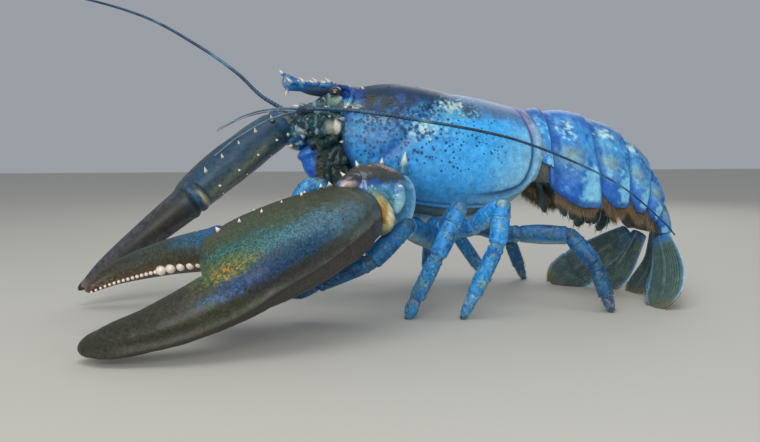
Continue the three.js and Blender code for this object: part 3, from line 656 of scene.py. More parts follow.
def bake_map(mesh, roots_uv):
    """Gives each tuft a small patch at its root's place on the skin's unwrap."""
    patch = 0.003
    each = len(mesh.vertices) // len(roots_uv)
    tuft, within = np.divmod(read(mesh.loops, "vertex_index", kind=int), each)
    turn = within * 2.4
    spread = patch * 0.5 * np.stack([np.cos(turn), np.sin(turn)], 1) * ((within + 1) / each)[:, None]
    uv = np.clip(roots_uv[np.minimum(tuft, len(roots_uv) - 1)], 0.01, 0.99) + spread
    mesh.uv_layers.new(name="OFBake").data.foreach_set("uv", uv.astype(np.float32).ravel())


def bristles(name, roots, aims, length, girth, material, slot, nodes, bake, bow, rings=2):
    form = dict(sides=3, rings=rings, bow=bow, roots_uv=bake)
    grow(name, roots, aims, length, girth, material, slot, nodes, **form)


# Carapace: rings keyed by t, from the front of the head to the rear edge
BACK = through([(0, 128), (0.12, 133), (0.34, 135.4), (0.62, 130), (0.8, 126.3), (1, 121)])
BELLY = through([(0, 80), (0.18, 62), (0.4, 53), (0.7, 51), (0.9, 55), (1, 60)])
HALF_WIDTH = through([(0, 20), (0.12, 25.5), (0.35, 31.5), (0.6, 35), (0.82, 34), (1, 30)])
TUCK = 0.36  # how far the lower edges turn in under the body
LOWER_EDGE = 0.87  # where the shell's lower edge runs, as a share of the way from back to belly


def rear_edge(down):
    return 4.5 * np.sin(math.pi * np.clip(down * 1.3, 0, 1)) - 42 * np.maximum(down - 0.72, 0)


def front_edge(down):
    return -CARAPACE_LENGTH + 34 * np.maximum(down - 0.62, 0) ** 1.2


def neck_groove(t, down):
    line = 0.6 - 0.42 * np.clip(down / 0.62, 0, 1) ** 0.8
    return bell(t, line, 0.028) * np.clip((0.66 - down) / 0.12, 0, 1)


def carapace_point(t, share, angle):
    top, bottom = BACK(t), BELLY(t)
    high = np.sin(angle)
    power = np.where(high > 0, 2.15, 3.0)
    lift = bulge(high, power)
    tuck = np.where(high < 0, 1 - TUCK * lift**2, 1)
    y = HALF_WIDTH(t) * bulge(np.cos(angle), power) * tuck * share
    waist = (top + bottom) / 2
    z = waist + (top - bottom) / 2 * lift * share
    down = (top - z) / (top - bottom)
    x = mix(front_edge(down), rear_edge(down), t)
    inward = np.stack([np.zeros_like(y), -y, waist - z], -1)
    inward /= np.maximum(np.linalg.norm(inward, axis=-1, keepdims=True), 1e-6)
    depth = 1.2 * neck_groove(t, down) * mix(0.6, 1, rise(down, 0.02, 0.15)) * np.minimum(share**2, 1)
    return np.stack([x, y, z], -1) + inward * depth[..., None]


def carapace_place(points):
    """t, down, and the distance in mm from the rear and lower edge, for points on the finished shell."""
    x, z = points[:, 0], points[:, 2]
    t = np.clip((x + CARAPACE_LENGTH) / CARAPACE_LENGTH, 0, 1)
    down = (BACK(t) - z) / (BACK(t) - BELLY(t))
    to_rear = rear_edge(down) - x
    to_low = (LOWER_EDGE - down) * (BACK(t) - BELLY(t))
    margin = -4 * np.log(np.exp(-np.clip(to_rear, -40, 90) / 4) + np.exp(-np.clip(to_low, -40, 90) / 4))
    return t, down, to_rear, to_low, margin


def carapace():
    base = -CARAPACE_LENGTH
    tip = base - ROSTRUM_LENGTH
    forms = [net([(0, 0)] + [(t, 1) for t in np.linspace(0, 1, 150)] + [(1, 0)], 176, carapace_point)]
    forms.append(
        loft(
            [(base + 16, 0, 128), (base, 0, 130.5), (base - 18, 0, 132.5), (tip + 4, 0, 140.5)],
            [(0, 12), (0.3, 8.5), (0.65, 4.6), (0.9, 2.2), (1, 1)],
            [(0, 4.5), (0.3, 4.3), (0.65, 3.6), (0.9, 2), (1, 1)],
            ends=(0, 0.06),
        )
    )
    # the web under the rostrum's tip, which carries its lower spine
    forms.append(
        loft(
            [(base - 8, 0, 131), (base - 20, 0, 133), (base - 29, 0, 134.4), (base - 31.5, 0, 138)],
            [(0, 2.6), (0.6, 2.2), (1, 1)], [(0, 3.4), (0.4, 3), (0.8, 3.4), (1, 1)], sides=24,
        )
    )
    # on each side the raised rim round the back of the eye, from the rostrum to the cheek, and a low keel
    rim = [(-6, 7, 131.5), (3.5, 11.5, 132), (7, 17.5, 128.5), (4, 20.8, 122), (0, 21, 116), (-1, 20, 108)]
    keel = [(-2, 7.6, 133.2), (-14, 5, 134), (-27, 2.6, 135.4)]
    for side in SIDES.values():
        for path, wide, deep, sides in (
            (rim, [(0, 1.2), (0.3, 1.7), (0.6, 1.5), (1, 1)], [(0, 1.2), (0.3, 1.6), (0.6, 1.4), (1, 1)], 20),
            (keel, [(0, 1.5), (1, 0.9)], [(0, 1.5), (1, 0.9)], 16),
        ):
            forms.append(loft([(base + x, y * side, z) for x, y, z in path], wide, deep, sides=sides))
    skin = fused("carapace_skin", forms, voxel=0.72, rounds=5)
    p = skin.points
    t, down, to_rear, to_low, margin = carapace_place(p)
    facing = skin.normals
    body = rise(p[:, 0], base - 4, base + 4)
    rear_cap = rise(facing[:, 0], 0.55, 0.8) * rise(to_rear, 4, 1)
    front_cap = rise(facing[:, 0], -0.55, -0.8) * rise(p[:, 0], base + 14, base + 6) * rise(p[:, 2], 128, 124)
    rimmed = mix(0.1, 1, rise(t, 0.6, 0.85))  # the rim is bold at the rear and fades along the lower edge
    proud = (-1.0 * bell(margin, 7.2, 1.1) + 0.5 * bell(margin, 4, 2.2)) * rimmed
    proud -= 0.9 * bell(margin, 0.2, 1.2) * (1 - rear_cap)
    proud = proud * body * rise(np.abs(p[:, 1]), 1, 6)
    proud -= 2.6 * rise(to_low, -0.5, -4) * body * (1 - front_cap)
    proud -= 0.55 * bell(p[:, 1], 0, 0.9) * rise(p[:, 0], base + 30, base + 60) * (facing[:, 2] > 0.5)
    front_rim = bell(p[:, 0] - front_edge(down), 2.2, 1.8) * rise(down, 0.2, 0.3) * rise(down, 0.8, 0.7)
    proud += 0.7 * front_rim * (1 - front_cap)
    hollow = np.hypot(p[:, 1] / 19, (p[:, 2] - 103) / 23)
    proud -= 5.5 * front_cap * rise(hollow, 0.98, 0.6)
    # low grains over the front of the back, as on the live shell
    grains = np.maximum(mottle(p, 2.6, 4) - 0.35, 0) * rise(t, 0.55, 0.15) * rise(down, 0.5, 0.1)
    proud += 0.5 * grains * (facing[:, 2] > -0.2) * (1 - front_cap)
    skin.points = p + facing * proud[:, None]

    blur, fine, grain = marbling(p, 9), marbling(p, 4, 5), mottle(p, 1.7, 6)
    ragged = fine * 0.6 + grain * 0.5
    wild = ragged * 1.4  # for patches with a broken edge
    front = rise(t, 0.62, 0.2)
    cheek = rise(down, 0.22, 0.28) * rise(down, 0.6, 0.42) * front
    x, z = p[:, 0], p[:, 2]
    shoulder = rise(down, 0.05, 0.12) * rise(down, 0.34, 0.18)
    from_front = x - front_edge(down)
    crest = rise(x, base - 2, base - 12) * rise(z, 130, 134)
    horn = rise(x, base + 4, base - 2) * rise(x, base - 25, base - 14)  # the rostrum's underside
    crown = rise(down + blur * 0.07 + fine * 0.06 + grain * 0.03, 0.28, 0.15)
    ahead = rise(t + fine * 0.03, 0.66, 0.5)
    mid = np.column_stack([t, down])
    tint = layered(
        p, "#3fa8ea",
        ("#1f7cc6", rise(fine + grain * 0.4, -0.1, 0.6) * 0.5 * (0.25 + 0.75 * front)),
        ("#66c2ee", rise(blur + fine * 0.5 + grain * 0.3, 0.1, 0.8) * 0.5),
        ("#8cc8e0", rise(t + down * 0.3 + blur * 0.05, 0.84, 1.15) * 0.8),
        ("#2c719e", rise(down + fine * 0.04, 0.56, 0.85) * rise(t, 0.95, 0.4) * 0.7),
        ("#4f8fb0", rise(down, 0.68, 0.85) * rise(t, 0.3, 0.8) * 0.7),
        ("#2f9ab8", blot(p, (-104, -25, 108), (12, 30, 11), ragged * 0.5) * 0.5),
        ("#9cbfa6", blot(p, (-92, -22, 113.5), (14, 40, 3.6), ragged) * 0.75),
        ("#0f56a4", blot(p, (-96, 0, 98), (20, 1e3, 16), wild + 0.3) * 0.6),
        ("#083f86", blot(p, (-83, 0, 109), (9, 1e3, 8), ragged) * 0.9),
        ("#1560ae", blot(p, (-62, 0, 104), (12, 1e3, 5), wild + 0.3) * 0.5),
        ("#173f78", rise(from_front, 8, 2) * rise(down, 0.2, 0.3) * 0.9),
        ("#0a58a8", neck_groove(t, down) * 0.8),
        ("#0a4290", rise(fine + grain * 0.6, 0.1, 0.5) * cheek * 0.7),
        ("#56b2dc", rise(marbling(p, 3, 15) + grain * 0.3, 0.1, 0.5) * cheek * 0.6),
        ("#45688c", rise(down + blur * 0.05 + fine * 0.03 + grain * 0.02, 0.2, 0.1) * 0.85),
        ("#141f2e", crown * ahead * 0.94),
        ("#3a2c26", blot(mid, (0.64, 0.15), (0.07, 0.07), ragged) * 0.8),
        ("#10150c", blot(mid, (0.17, 0.17), (0.12, 0.1), ragged * 0.9) * 0.92),
        ("#4d6f96", rise(down + fine * 0.03 + grain * 0.02, 0.22, 0.1) * rise(t, 0.6, 0.8) * 0.8),
        ("#1f5a9c", rise(fine + blur + grain * 0.5, 0.2, 0.6) * shoulder * front * 0.75),
        # painted highlights: bright cyan patches with near-white centres where light catches the neck groove
        # on the near flank
        ("#6cc8ee", blot(p, (-55, -26, 116), (16, 60, 8), wild + 0.1) * 0.65),
        ("#7acdf0", blot(p, (-72, -29, 107), (12, 60, 6), wild + 0.1) * 0.7),
        ("#d0e8dc", blot(p, (-72, -29, 107), (9, 60, 4.5), ragged * 2 + 0.55) * 0.85),
        ("#cfe4d4", blot(p, (-52, -22, 120.5), (9, 60, 4.5), ragged * 2 + 0.55) * 0.85),
        ("#1f5cb0", rise(down, 0.3, 0.05) * bell(to_rear, 9, 8) * 0.6),
        ("#174c88", bell(margin, 7.2, 1.6) * body * 0.95 * rimmed),
        ("#8fc0dc", rise(margin, 5.6, 4) * body * rise(down, 0.1, 0.25) * 0.75 * rimmed),
        ("#a9879a", bell(margin, 5.8, 1) * body * rise(down, 0.42, 0.2) * 0.6),
        ("#0d5ea8", rise(x, base + 2, base - 6) * 0.9),
        ("#43aacc", crest * rise(fine + grain * 0.5, -0.2, 0.5) * 0.75),
        ("#2d342c", horn * rise(z + grain, 134, 131) * 0.9),
        ("#b08e78", rise(x, tip + 9, tip + 4) * rise(grain, -0.3, 0.4) * 0.6),
        ("#0c48a0", blot(p, (base + 6, -16, 127.6), (9, 60, 5.6), grain * 0.3) * 0.95),
        ("#5fb0de", blot(p, (base + 4, -16, 123), (9, 60, 2.4), ragged * 0.4) * 0.85),
        ("#dfe0c8", blot(p, (base + 3, -19, 120.6), (9.5, 60, 1.9), fine * 0.2) * 0.97),
        # painted shade: the hollow front face of the head, under the rostrum, is darkened
        ("#222e32", front_cap * 0.9),
        ("#6f8078", rise(to_low, -0.5, -3) * body * 0.85),
        ("#3a4a4c", rear_cap * rise(margin, 3, 0) * 0.4),
    )
    fleck = washed(
        lighter(tint),
        ("#1f4a7c", crown * ahead * 0.6),
        ("#3c4420", blot(mid, (0.16, 0.18), (0.11, 0.09), ragged) * 0.85),
        ("#7391ae", rise(down, 0.22, 0.1) * rise(t, 0.6, 0.8) * 0.4),
        ("#1564b0", rise(down, 0.16, 0.24) * rise(down, 0.72, 0.5) * front * 0.5),
    )
    flank = rise(down, 0.1, 0.2) * rise(down, 0.76, 0.56)
    speck = flank * mix(0.75, 1.35, rise(t, 0.66, 0.4)) * rise(t, 0.94, 0.74)
    speck = speck * mix(0.8, 1, rise(down, 0.6, 0.36)) * (0.7 + 0.3 * rise(fine, -0.5, 0.3))
    speck = speck + 0.2 * rise(down, 0.15, 0.05)
    add_piece("carapace_shell", skin, BACK_SHELL, "body_shell", ["carapace"], tint, speck * body, fleck)

    spines = [
        ((base - 28.5, 0, 132), (-0.3, 0, -1), 5.6, 1.7),
        ((tip + 5, 0, 139.6), (-0.8, 0, 0.9), 4, 1.4),
    ]
    for side in SIDES.values():
        for i in range(4):
            at = (base - 26 + i * 7.5, (2.6 + i * 1.5) * side, 134.4 - i * 0.1)
            spines.append((at, (-0.9, side * 0.35, 0.75), 5.8, 1.5))
        for i in range(5):
            at = (base - 22 + i * 5.2, (3.4 + i * 0.9) * side, 135.2 - i * 0.2)
            spines.append((at, (-0.8, side * 0.2, 0.7), 2.2, 0.7))
        spines += [
            ((base + 7, 14 * side, 130.4), (-0.5, side * 0.1, 1), 3, 1.0),
            ((base + 2, 21 * side, 113), (-1, side * 0.25, 0.1), 4.5, 1.5),
            ((base + 1, 21 * side, 100), (-1, side * 0.25, 0), 2.6, 1.1),
            ((base + 14, 17 * side, 130.5), (-0.8, side * 0.2, 0.8), 2.6, 1.1),
        ]
    form = dict(sides=10, rings=5, fullness=0.5)
    grow("carapace_spines", *zip(*spines), SPINE_HORN, "body_shell", ["carapace"], **form)


carapace()


# Underside of the chest: a keel of fused plates between the legs' roots


def underside():
    def ridges(t, angle):
        return 0.9 * np.cos(2 * math.pi * 5 * t) - 0.9 * bell(np.cos(angle), 0, 0.15)

    keel = loft(
        [(-104, 0, 60), (-84, 0, 51), (-50, 0, 48), (-8, 0, 53)],
        [(0, 9), (0.3, 13), (0.7, 15), (1, 13)], [(0, 6), (0.4, 8), (1, 8)],
        square=3, ends=(0.05, 0.05), sides=48, steps=90, relief=ridges,
    )
    tint = layered(
        keel.points, "#8fa6a4",
        ("#5c86a6", rise(marbling(keel.points, 7), 0, 0.5)),
        ("#a39a7c", bell(np.modf(keel.along * 5)[0], 0.5, 0.12) * 0.7),
    )
    add_piece("thorax_underside_plates", keel, TAIL_SHELL, "underside", ["thorax_underside"], tint)


underside()

# Tail: each plate spans two edge lines, from the ridge on the back to the tips at the sides
RIDGE = np.array([(-3, 117), (9, 121), (37.5, 118), (63, 108.5), (83, 93), (96, 72), (106.5, 41)], float)
TIP = np.array([(-2, 72), (11, 61), (43, 59), (62, 59), (75, 55), (84.5, 49.5), (92, 41)], float)
TAIL_HALF = np.array([25.5, 28.5, 29.5, 29, 27, 25, 21])
# depth of each plate's side lobe at its front and rear corners
SIDE_LOBES = [(0.5, 0.6), (0.74, 1), (0.72, 1), (0.7, 1), (0.7, 1), (0.8, 1)]
FLESH_SHARE = 0.76  # how far down the soft underside lies


def chord_point(n, drop, s):
    """A point in the body's middle plane, drop being its share of the way from the ridge to the tips."""
    start = RIDGE[n] + (TIP[n] - RIDGE[n]) * drop[..., None]
    end = RIDGE[n + 1] + (TIP[n + 1] - RIDGE[n + 1]) * drop[..., None]
    xz = start + (end - start) * s[..., None]
    return np.stack([xz[..., 0], np.zeros_like(s), xz[..., 1]], -1)


def tail_point(n, u, s, lower):
    """u runs from -1 at the left tip over the ridge to 1 at the right tip, s from front to rear."""
    u, s, lower = np.broadcast_arrays(u, s, lower)
    turn = np.abs(u) * math.pi / 2
    front, rear = SIDE_LOBES[n]
    corner = mix(front, rear, np.clip(s / 0.62, 0, 1) ** 0.5)
    drop = (1 - np.clip(np.cos(turn), 0, 1) ** 0.86) * mix(1, corner, np.abs(u) ** 3)
    swell = 1.4 * np.sin(math.pi * s) - lower
    side = np.sin(turn) ** 0.78 * (1 - 0.1 * np.maximum(drop - 0.6, 0))
    half = mix(TAIL_HALF[n], TAIL_HALF[n + 1], s) + swell
    lean = unit(RIDGE[n + 1] - RIDGE[n])[0]
    out = swell * np.cos(turn)
    lift = np.stack([out * math.sqrt(1 - lean**2), half * side * np.sign(u), out * lean], -1)
    return chord_point(n, drop, s) + lift


def plate_reach(n):
    return float(np.linalg.norm(RIDGE[n + 1] - RIDGE[n]) + np.linalg.norm(TIP[n + 1] - TIP[n])) / 2


def tail_plate(n):
    thick, round_edge, overlap = 2.8, 1.3, 2.4
    reach = plate_reach(n)
    last = n == 5

    def place(u, s, depth):
        margin = np.minimum(np.minimum((1 - np.abs(u)) * 78, s * reach), (1 - s) * reach)
        sink = round_edge * (1 - np.sqrt(1 - np.clip(1 - margin / round_edge, 0, 1) ** 2))
        step = mix(-1.3 if n else -0.4, 0.2 if last else 1, rise(s, 0.05, 0.8))
        hinge = rise(np.abs(u), 0.62, 0.8)
        carving = -0.7 * bell(s, 0.27, 0.035) * (1 - hinge) - bell(np.abs(u), 0.7, 0.05) * rise(s, 0.1, 0.3)
        carving += 0.35 * bell(s, 0.94, 0.035) + 0.4 * bell(margin, 2.4, 1.1) * hinge
        carving += 0.8 * hinge * bell(np.abs(u), 0.88, 0.08) * bell(s, 0.5, 0.3)
        outer = step + carving - sink
        lower = mix(thick - step - sink, -outer, depth)
        along = s * (1 + (0 if last else overlap / reach))
        return tail_point(n, u, along, lower)

    plate = slab(150, 46, place)
    p, s, u = plate.points, plate.along, np.abs(plate.around)
    outside = np.arange(len(p)) < len(p) // 2
    blur, fine, grain = marbling(p, 8, n), marbling(p, 3.2, n + 5), mottle(p, 1.7, n + 2)
    spot = np.column_stack([u, s])
    centre = bell(s + fine * 0.1, 0.45, 0.25)
    rear = n / 5
    # strength of the painted highlight on each plate, strongest on plates 2 to 4
    bright = 0.85 if n in (1, 2, 3) else 0.4
    ridge_hex = ("#2c5c9c", "#2770c8", "#2a6cb8", "#3a6c94", "#3f6f8c", "#3a74ac")[n]
    tint = layered(
        p, "#3a90d4",
        ("#78cbee", rise(blur + fine * 0.4 + grain * 0.4, 0, 0.6) * 0.75),
        (ridge_hex, rise(u + fine * 0.08, 0.5, 0.2) * 0.8),
        ("#7d9aa0", rise(u + fine * 0.15, 0.62, 0.3) * rear * 0.5),
        ("#175cb0", rise(fine * 0.6 - blur + grain * 0.5, 0.1, 0.6) * 0.75),
        ("#123460", rise(fine + grain * 0.6, 0.05, 0.5) * rise(u, 0.95, 0.6) * rear * 0.85),
        ("#134a9c", rise(s + fine * 0.08 + grain * 0.04, 0.34, 0.08) * 0.85),
        ("#8fa58e", bell(u + fine * 0.07 + grain * 0.05, 0.7, 0.08) * centre * 0.75),
        # painted highlight: a pale cyan-white patch high on the plate's flank
        ("#bfe4e4", blot(spot, (0.47 - 0.03 * n, 0.42), (0.1, 0.2), fine * 0.9 + grain + 0.5) * bright),
        ("#a4dcee", blot(spot, (0.84, 0.4), (0.08, 0.2), fine * 0.9 + grain * 0.8 + 0.35) * 0.75),
        ("#125cba", blot(spot, (0.9, 0.45), (0.09, 0.3), fine * 0.8 + grain * 0.6) * 0.8),
        ("#8ad2f0", blot(spot, (0.9, 0.8), (0.14, 0.2), fine * 0.6 + grain * 0.4) * 0.8),
        ("#174a94", rise(u, 0.955, 0.985) * 0.8),
        ("#1a4680", rise(s, 0.93, 0.97) * 0.6),
        ("#9db9c4", rise(s, 0.965, 0.995) * rise(u, 0.3, 0.5) * 0.7),
        ("#6a6a5e", (~outside) * 0.85),
    )
    speck = 0.45 * rise(blur, -0.2, 0.6) * outside
    node = f"tail_segment_{n + 1}"
    add_piece(f"{node}_shell", plate, TAIL_SHELL, "tail_shell", [node], tint, speck)


def tail_flesh(n):
    """The soft belly under the plate, creased across."""

    def place(u, s, depth):
        creases = 0.5 * np.cos(s * math.pi * 6) * bell(u, 0, 0.7)
        shell = tail_point(n, u * 0.82, s, 2.2)
        under = chord_point(n, np.full_like(s, FLESH_SHARE), s)
        under[..., 1] = shell[..., 1] * 0.93
        under[..., 2] -= creases
        return under + (shell - under) * np.asarray(depth)

    belly = slab(40, 24, place)
    tint = layered(belly.points, "#77705c", ("#4f5f60", rise(marbling(belly.points, 6, n), -0.1, 0.5)))
    node = f"tail_segment_{n + 1}"
    add_piece(f"{node}_belly", belly, JOINT_SKIN, "tail_shell", [node], tint)


SWIMMERETS = {1: (0.25, 30), 2: (0.1, 27), 3: (-0.15, 24), 4: (-0.4, 20)}  # lean and length by segment
LEAF_FACING = (1, 0, 0.2)


def swimmerets(n):
    """A pair of paddles on segments 2 to 5, each with an outer and an inner leaf and a fringe."""
    leaves, roots, aims, bake = [], [], [], []
    tilt, long = SWIMMERETS[n]
    width = [(0, 2.6), (0.3, 3.2), (0.45, 5.4), (0.75, 7), (1, 4)]
    centre = tail_point(n, 0.0, 0.5, 38.0)
    for side in SIDES.values():
        for leaf, (swing, out) in enumerate(((0.0, 0.0), (0.3, -3.5))):
            root = np.array([centre[0], 11 * side, centre[2]])
            lean = tilt + swing
            end = np.array([centre[0] + long * lean, (15 + out) * side, centre[2] - long * (1 - 0.12 * leaf)])
            bend = np.array([mix(root[0], end[0], 0.45), (14 + out) * side, mix(root[2], end[2], 0.5)])
            line = Line([root, bend, end])
            leaves.append(
                loft(
                    [root, bend, end], width, [(0, 2), (0.3, 1.6), (0.45, 0.9), (1, 0.45)],
                    up=LEAF_FACING, ends=(0, 0.15), sides=36,
                    relief=lambda t, a: -0.25 * bell(t, 0.36, 0.03) + 0.06 * np.cos(40 * np.cos(a)),
                )
            )
            for t in np.linspace(0.5, 0.99, 26):
                for edge in (-1, 1):
                    heading = line.heading(np.array(t))
                    across = unit(np.cross(LEAF_FACING, heading)) * edge
                    reach = through(width)(t) * 0.92 * (1 if t < 0.85 else 0.8)
                    roots.append(line.point(np.array(t)) + across * reach)
                    aims.append(across * (1.1 - t) + heading * (0.4 + t))
                    bake.append((0.5 + 0.2 * leaf * edge, t))
    form = together(*leaves)
    tint = layered(
        form.points, "#26423f",
        ("#3d5f5e", rise(marbling(form.points, 4, n), -0.1, 0.6) * 0.8),
        ("#2a5a84", rise(form.along, 0.4, 0.2) * 0.7),
        ("#6f8a80", bell(form.along, 0.36, 0.05) * 0.6),
    )
    nodes = [f"tail_segment_{n + 1}"]
    add_piece(f"swimmerets_{n + 1}", form, FAN_HORN, "tail_shell", nodes, tint)
    bristles(f"swimmeret_fringe_{n + 1}", roots, aims, 3.2, 0.14, BRISTLE_PALE, "tail_shell", nodes, bake, 3)


FRINGE_COUNT = 4200  # bristles on each side


def tail_fringe():
    """The brown skin and bristles that hang below the side lobes."""
    for word, side in SIDES.items():
        edge = []
        for n in range(1, 5):
            for s in (0.12, 0.5, 0.9):
                edge.append(tail_point(n, 0.96 * side, s, 3.4) - (0, 0, 1.5))
        line = Line(edge)
        curtain = loft(
            edge, 0.7, [(0, 3.4), (0.5, 5.2), (1, 3.2)], ends=(0.03, 0.03), steps=150,
            relief=lambda t, a: -0.5 * np.maximum(-np.sin(a), 0) * (1 + np.sin(t * 170)),
        )
        tint = layered(
            curtain.points, "#7a6a50",
            ("#a08258", rise(marbling(curtain.points, 5), -0.1, 0.6) * 0.8),
            ("#3f4038", rise(marbling(curtain.points, 3, 4), 0.2, 0.7) * 0.7),
        )
        nodes = [f"tail_segment_{n}" for n in (2, 3, 4, 5)]
        add_piece(f"tail_skin_{word}", curtain, JOINT_SKIN, "tail_shell", nodes, tint)
        count = FRINGE_COUNT
        t = chance.random(count)
        drop = chance.uniform(0, 6.5, count) * (0.6 + 0.4 * np.sin(t * math.pi))
        roots = line.point(t) - np.column_stack([np.zeros(count), 0.5 * side * -np.ones(count), drop])
        roots[:, 1] += chance.uniform(-0.9, 0.9, count)
        aim_x, aim_y = chance.normal(0.1, 0.22, count), chance.normal(0, 0.16, count)
        aims = np.column_stack([aim_x, aim_y, -np.ones(count)])
        long = chance.uniform(3, 7.5, count)
        bake = np.column_stack([t, 0.4 + 0.03 * drop])
        name = f"tail_fringe_{word}"
        bristles(name, roots, aims, long, BRISTLE, BRISTLE_BROWN, "tail_shell", nodes, bake, 4, rings=3)


for number in range(6):
    tail_plate(number)
    tail_flesh(number)
for number in SWIMMERETS:
    swimmerets(number)
tail_fringe()

# Tail fan: blades from the last plate down to the floor
FAN = {  # root, tip, bow of the middle, half width and the way the blade faces
    "telson": ((101.5, -1, 41), (82, -6, -0.6), (7, 0, 0), 13, (1, 0.1, -0.45)),
    "tail_fan_left_inner": ((97, -12, 39), (84, -32, -0.6), (4, -2, 0), 13, (1, 0.3, -0.4)),
    "tail_fan_left_outer": ((95, -17, 39), (70, -56, -0.6), (2, -3, 0), 12.5, (1, 0.3, -0.6)),
    "tail_fan_right_inner": ((97, 11, 39), (70, 13, -0.6), (2, 2, 0), 13, (1, 0.4, -0.5)),
    "tail_fan_right_outer": ((93, 17, 38), (44, 37, -0.6), (5, 4, 1), 16.5, (1, 0.75, -0.6)),
}


def fan_blade(name, root, tip, bow, wide, facing):
    middle = mix(np.array(root, float), np.array(tip, float), 0.5) + bow
    outer = name.endswith("outer")
    path = [root, middle, tip]
    width = [(0, wide * 0.45), (0.3, wide * 0.76), (0.7, wide), (1, wide * 0.75)]

    def ribs(t, angle):
        """Fine ribs fan out from a raised midrib; the outer blades have a joint across them."""
        across = np.cos(angle)
        fine = 0.16 * np.cos(across * 46) * rise(t, 0.12, 0.35)
        midrib = bell(across, 0.1, 0.07) * rise(t, 0.95, 0.6)
        joint = -0.9 * bell(t, 0.72 - 0.06 * across**2, 0.012) if outer else 0.0
        teeth = 0.5 * np.abs(np.sin(t * 75)) * rise(np.abs(across), 0.97, 1) * rise(t, 0.2, 0.5)
        return fine + midrib + joint + teeth

    depth = [(0, 2.6), (0.3, 1.4), (1, 0.7)]
    blade = loft(path, width, depth, up=facing, ends=(0.03, 0.2), sides=150, steps=110, relief=ribs)
    blade.points[:, 2] = np.maximum(blade.points[:, 2], 0)
    p, t, across = blade.points, blade.along, np.cos(blade.around)
    left = "left" in name
    rim = rise(np.abs(across), 0.86, 0.97)
    fine = marbling(p, 3)
    tint = layered(
        p, "#46605c" if left else "#3c5056",
        ("#5f7a62", rise(fine, -0.2, 0.5) * 0.6),
        ("#2b3f3e", bell(np.modf(np.abs(across) * 7)[0], 0.5, 0.16) * rise(t, 0.1, 0.3) * 0.55),
        ("#3f86c8", rise(t, 0.2, 0.02) * (0.8 if left and outer else 0.3)),
        ("#5b9cc6", rim * (0.85 if outer else 0.5)),
        ("#6f6238", rise(t, 0.82, 1) * 0.6),
        ("#a8c4cc", rise(np.abs(across), 0.965, 0.995) * (0.9 if outer and left else 0.35)),
    )
    add_piece(f"{name}_blade", blade, FAN_HORN, "tail_fan", [name], tint, 0.25 * rise(fine, 0, 0.6))

    line, reach = Line(path), through(width)
    roots, aims, bake = [], [], []
    count = 300
    for i in range(count):
        turn = mix(-1, 1, (i + 0.5) / count) * math.pi / 2
        t = np.array(0.8 + 0.19 * math.cos(turn))
        heading, point = line.heading(t), line.point(t)
        side = unit(np.cross(facing, heading))
        share = math.sqrt(max(1 - (max(float(t) - 0.8, 0) / 0.2) ** 2, 0)) * math.copysign(1, turn)
        at = point + side * float(reach(t)) * 0.93 * share
        if at[2] < FLOOR_GAP:
            continue
        roots.append(at)
        aims.append(side * share + heading * 1.1)
        bake.append((0.5 + 0.45 * share, float(t)))
    bristles(f"{name}_fringe", roots, aims, 2.6, BRISTLE, BRISTLE_BROWN, "tail_fan", [name], bake, 2)


for name, sizes in FAN.items():
    fan_blade(name, *sizes)


# Head: eyes on their stalks, antenna bases, feelers and the outer mouth limbs


def mirrored(points, side):
    return [(x, y * side, z) for x, y, z in points]


def eye(word, side):
    centre = np.array([-120.4, 14.6 * side, 129.3])
    outward_tilt = np.array([-0.15, 0.5 * side, 1.0])

    def dome(t, share, angle):
        """A flat bean-shaped cap, longer from front to back than across."""
        up = unit(outward_tilt)
        ahead = unit(np.cross(np.cross(up, (-1, 0, 0)), up))
        across = np.cross(up, ahead)
        polar = t * math.pi
        flat = np.sin(polar)[..., None] if np.ndim(t) else np.array([math.sin(polar)])
        bean = 1 - 0.06 * bell(np.cos(angle), -1, 0.5)
        x = 4.0 * flat * (np.cos(angle) * bean)[..., None]
        y = 3.6 * flat * np.sin(angle)[..., None]
        return centre + ahead * x + across * y + up * 2.5 * np.cos(polar)[..., None]

    ball = net([(t, 1.0) for t in np.linspace(0, 1, 40)], 56, dome)
    tint = layered(ball.points, "#0b0a0e", ("#1f1a1c", rise(marbling(ball.points, 1.2), 0.1, 0.7) * 0.5))
    add_piece(f"eye_{word}_cornea", ball, CORNEA, "eye", [f"eye_{word}"], tint)

    stalk = fused(
        f"eye_stalk_{word}",
        [
            loft(mirrored([(-112, 8, 120), (-117, 11.5, 121), (-121.4, 14.8, 125.2)], side),
                 [(0, 3.2), (0.5, 3.6), (1, 5.0)], [(0, 3.2), (0.5, 3.6), (1, 4.6)],
                 ends=(0, 0.16), sides=32),
            loft(mirrored([(-113, 11, 120.5), (-118.5, 16, 121.5)], side), 1.9, 1.6, sides=16),
        ],
        voxel=0.35, rounds=3,
    )
    p = stalk.points
    rim = (p - centre) @ unit(outward_tilt)
    stalk_tint = layered(
        p, "#8aa295",
        ("#a9bda6", rise(marbling(p, 3), 0, 0.6) * 0.7),
        ("#5b7f78", rise(p[:, 2], 125.5, 122.5) * 0.85),
        ("#3a5652", rise(p[:, 0], -116.5, -113) * 0.7),
        ("#c2cfb8", bell(rim, -1.9, 0.5) * 0.7),
    )
    add_piece(f"eye_stalk_{word}_skin", stalk, JOINT_SKIN, "eye_stalk", [f"eye_stalk_{word}"], stalk_tint)


def ringed(form, joints, width=0.03):
    """How near each corner of a lofted limb is to one of its joints."""
    return np.max([bell(form.along, joint, width) for joint in joints], axis=0)


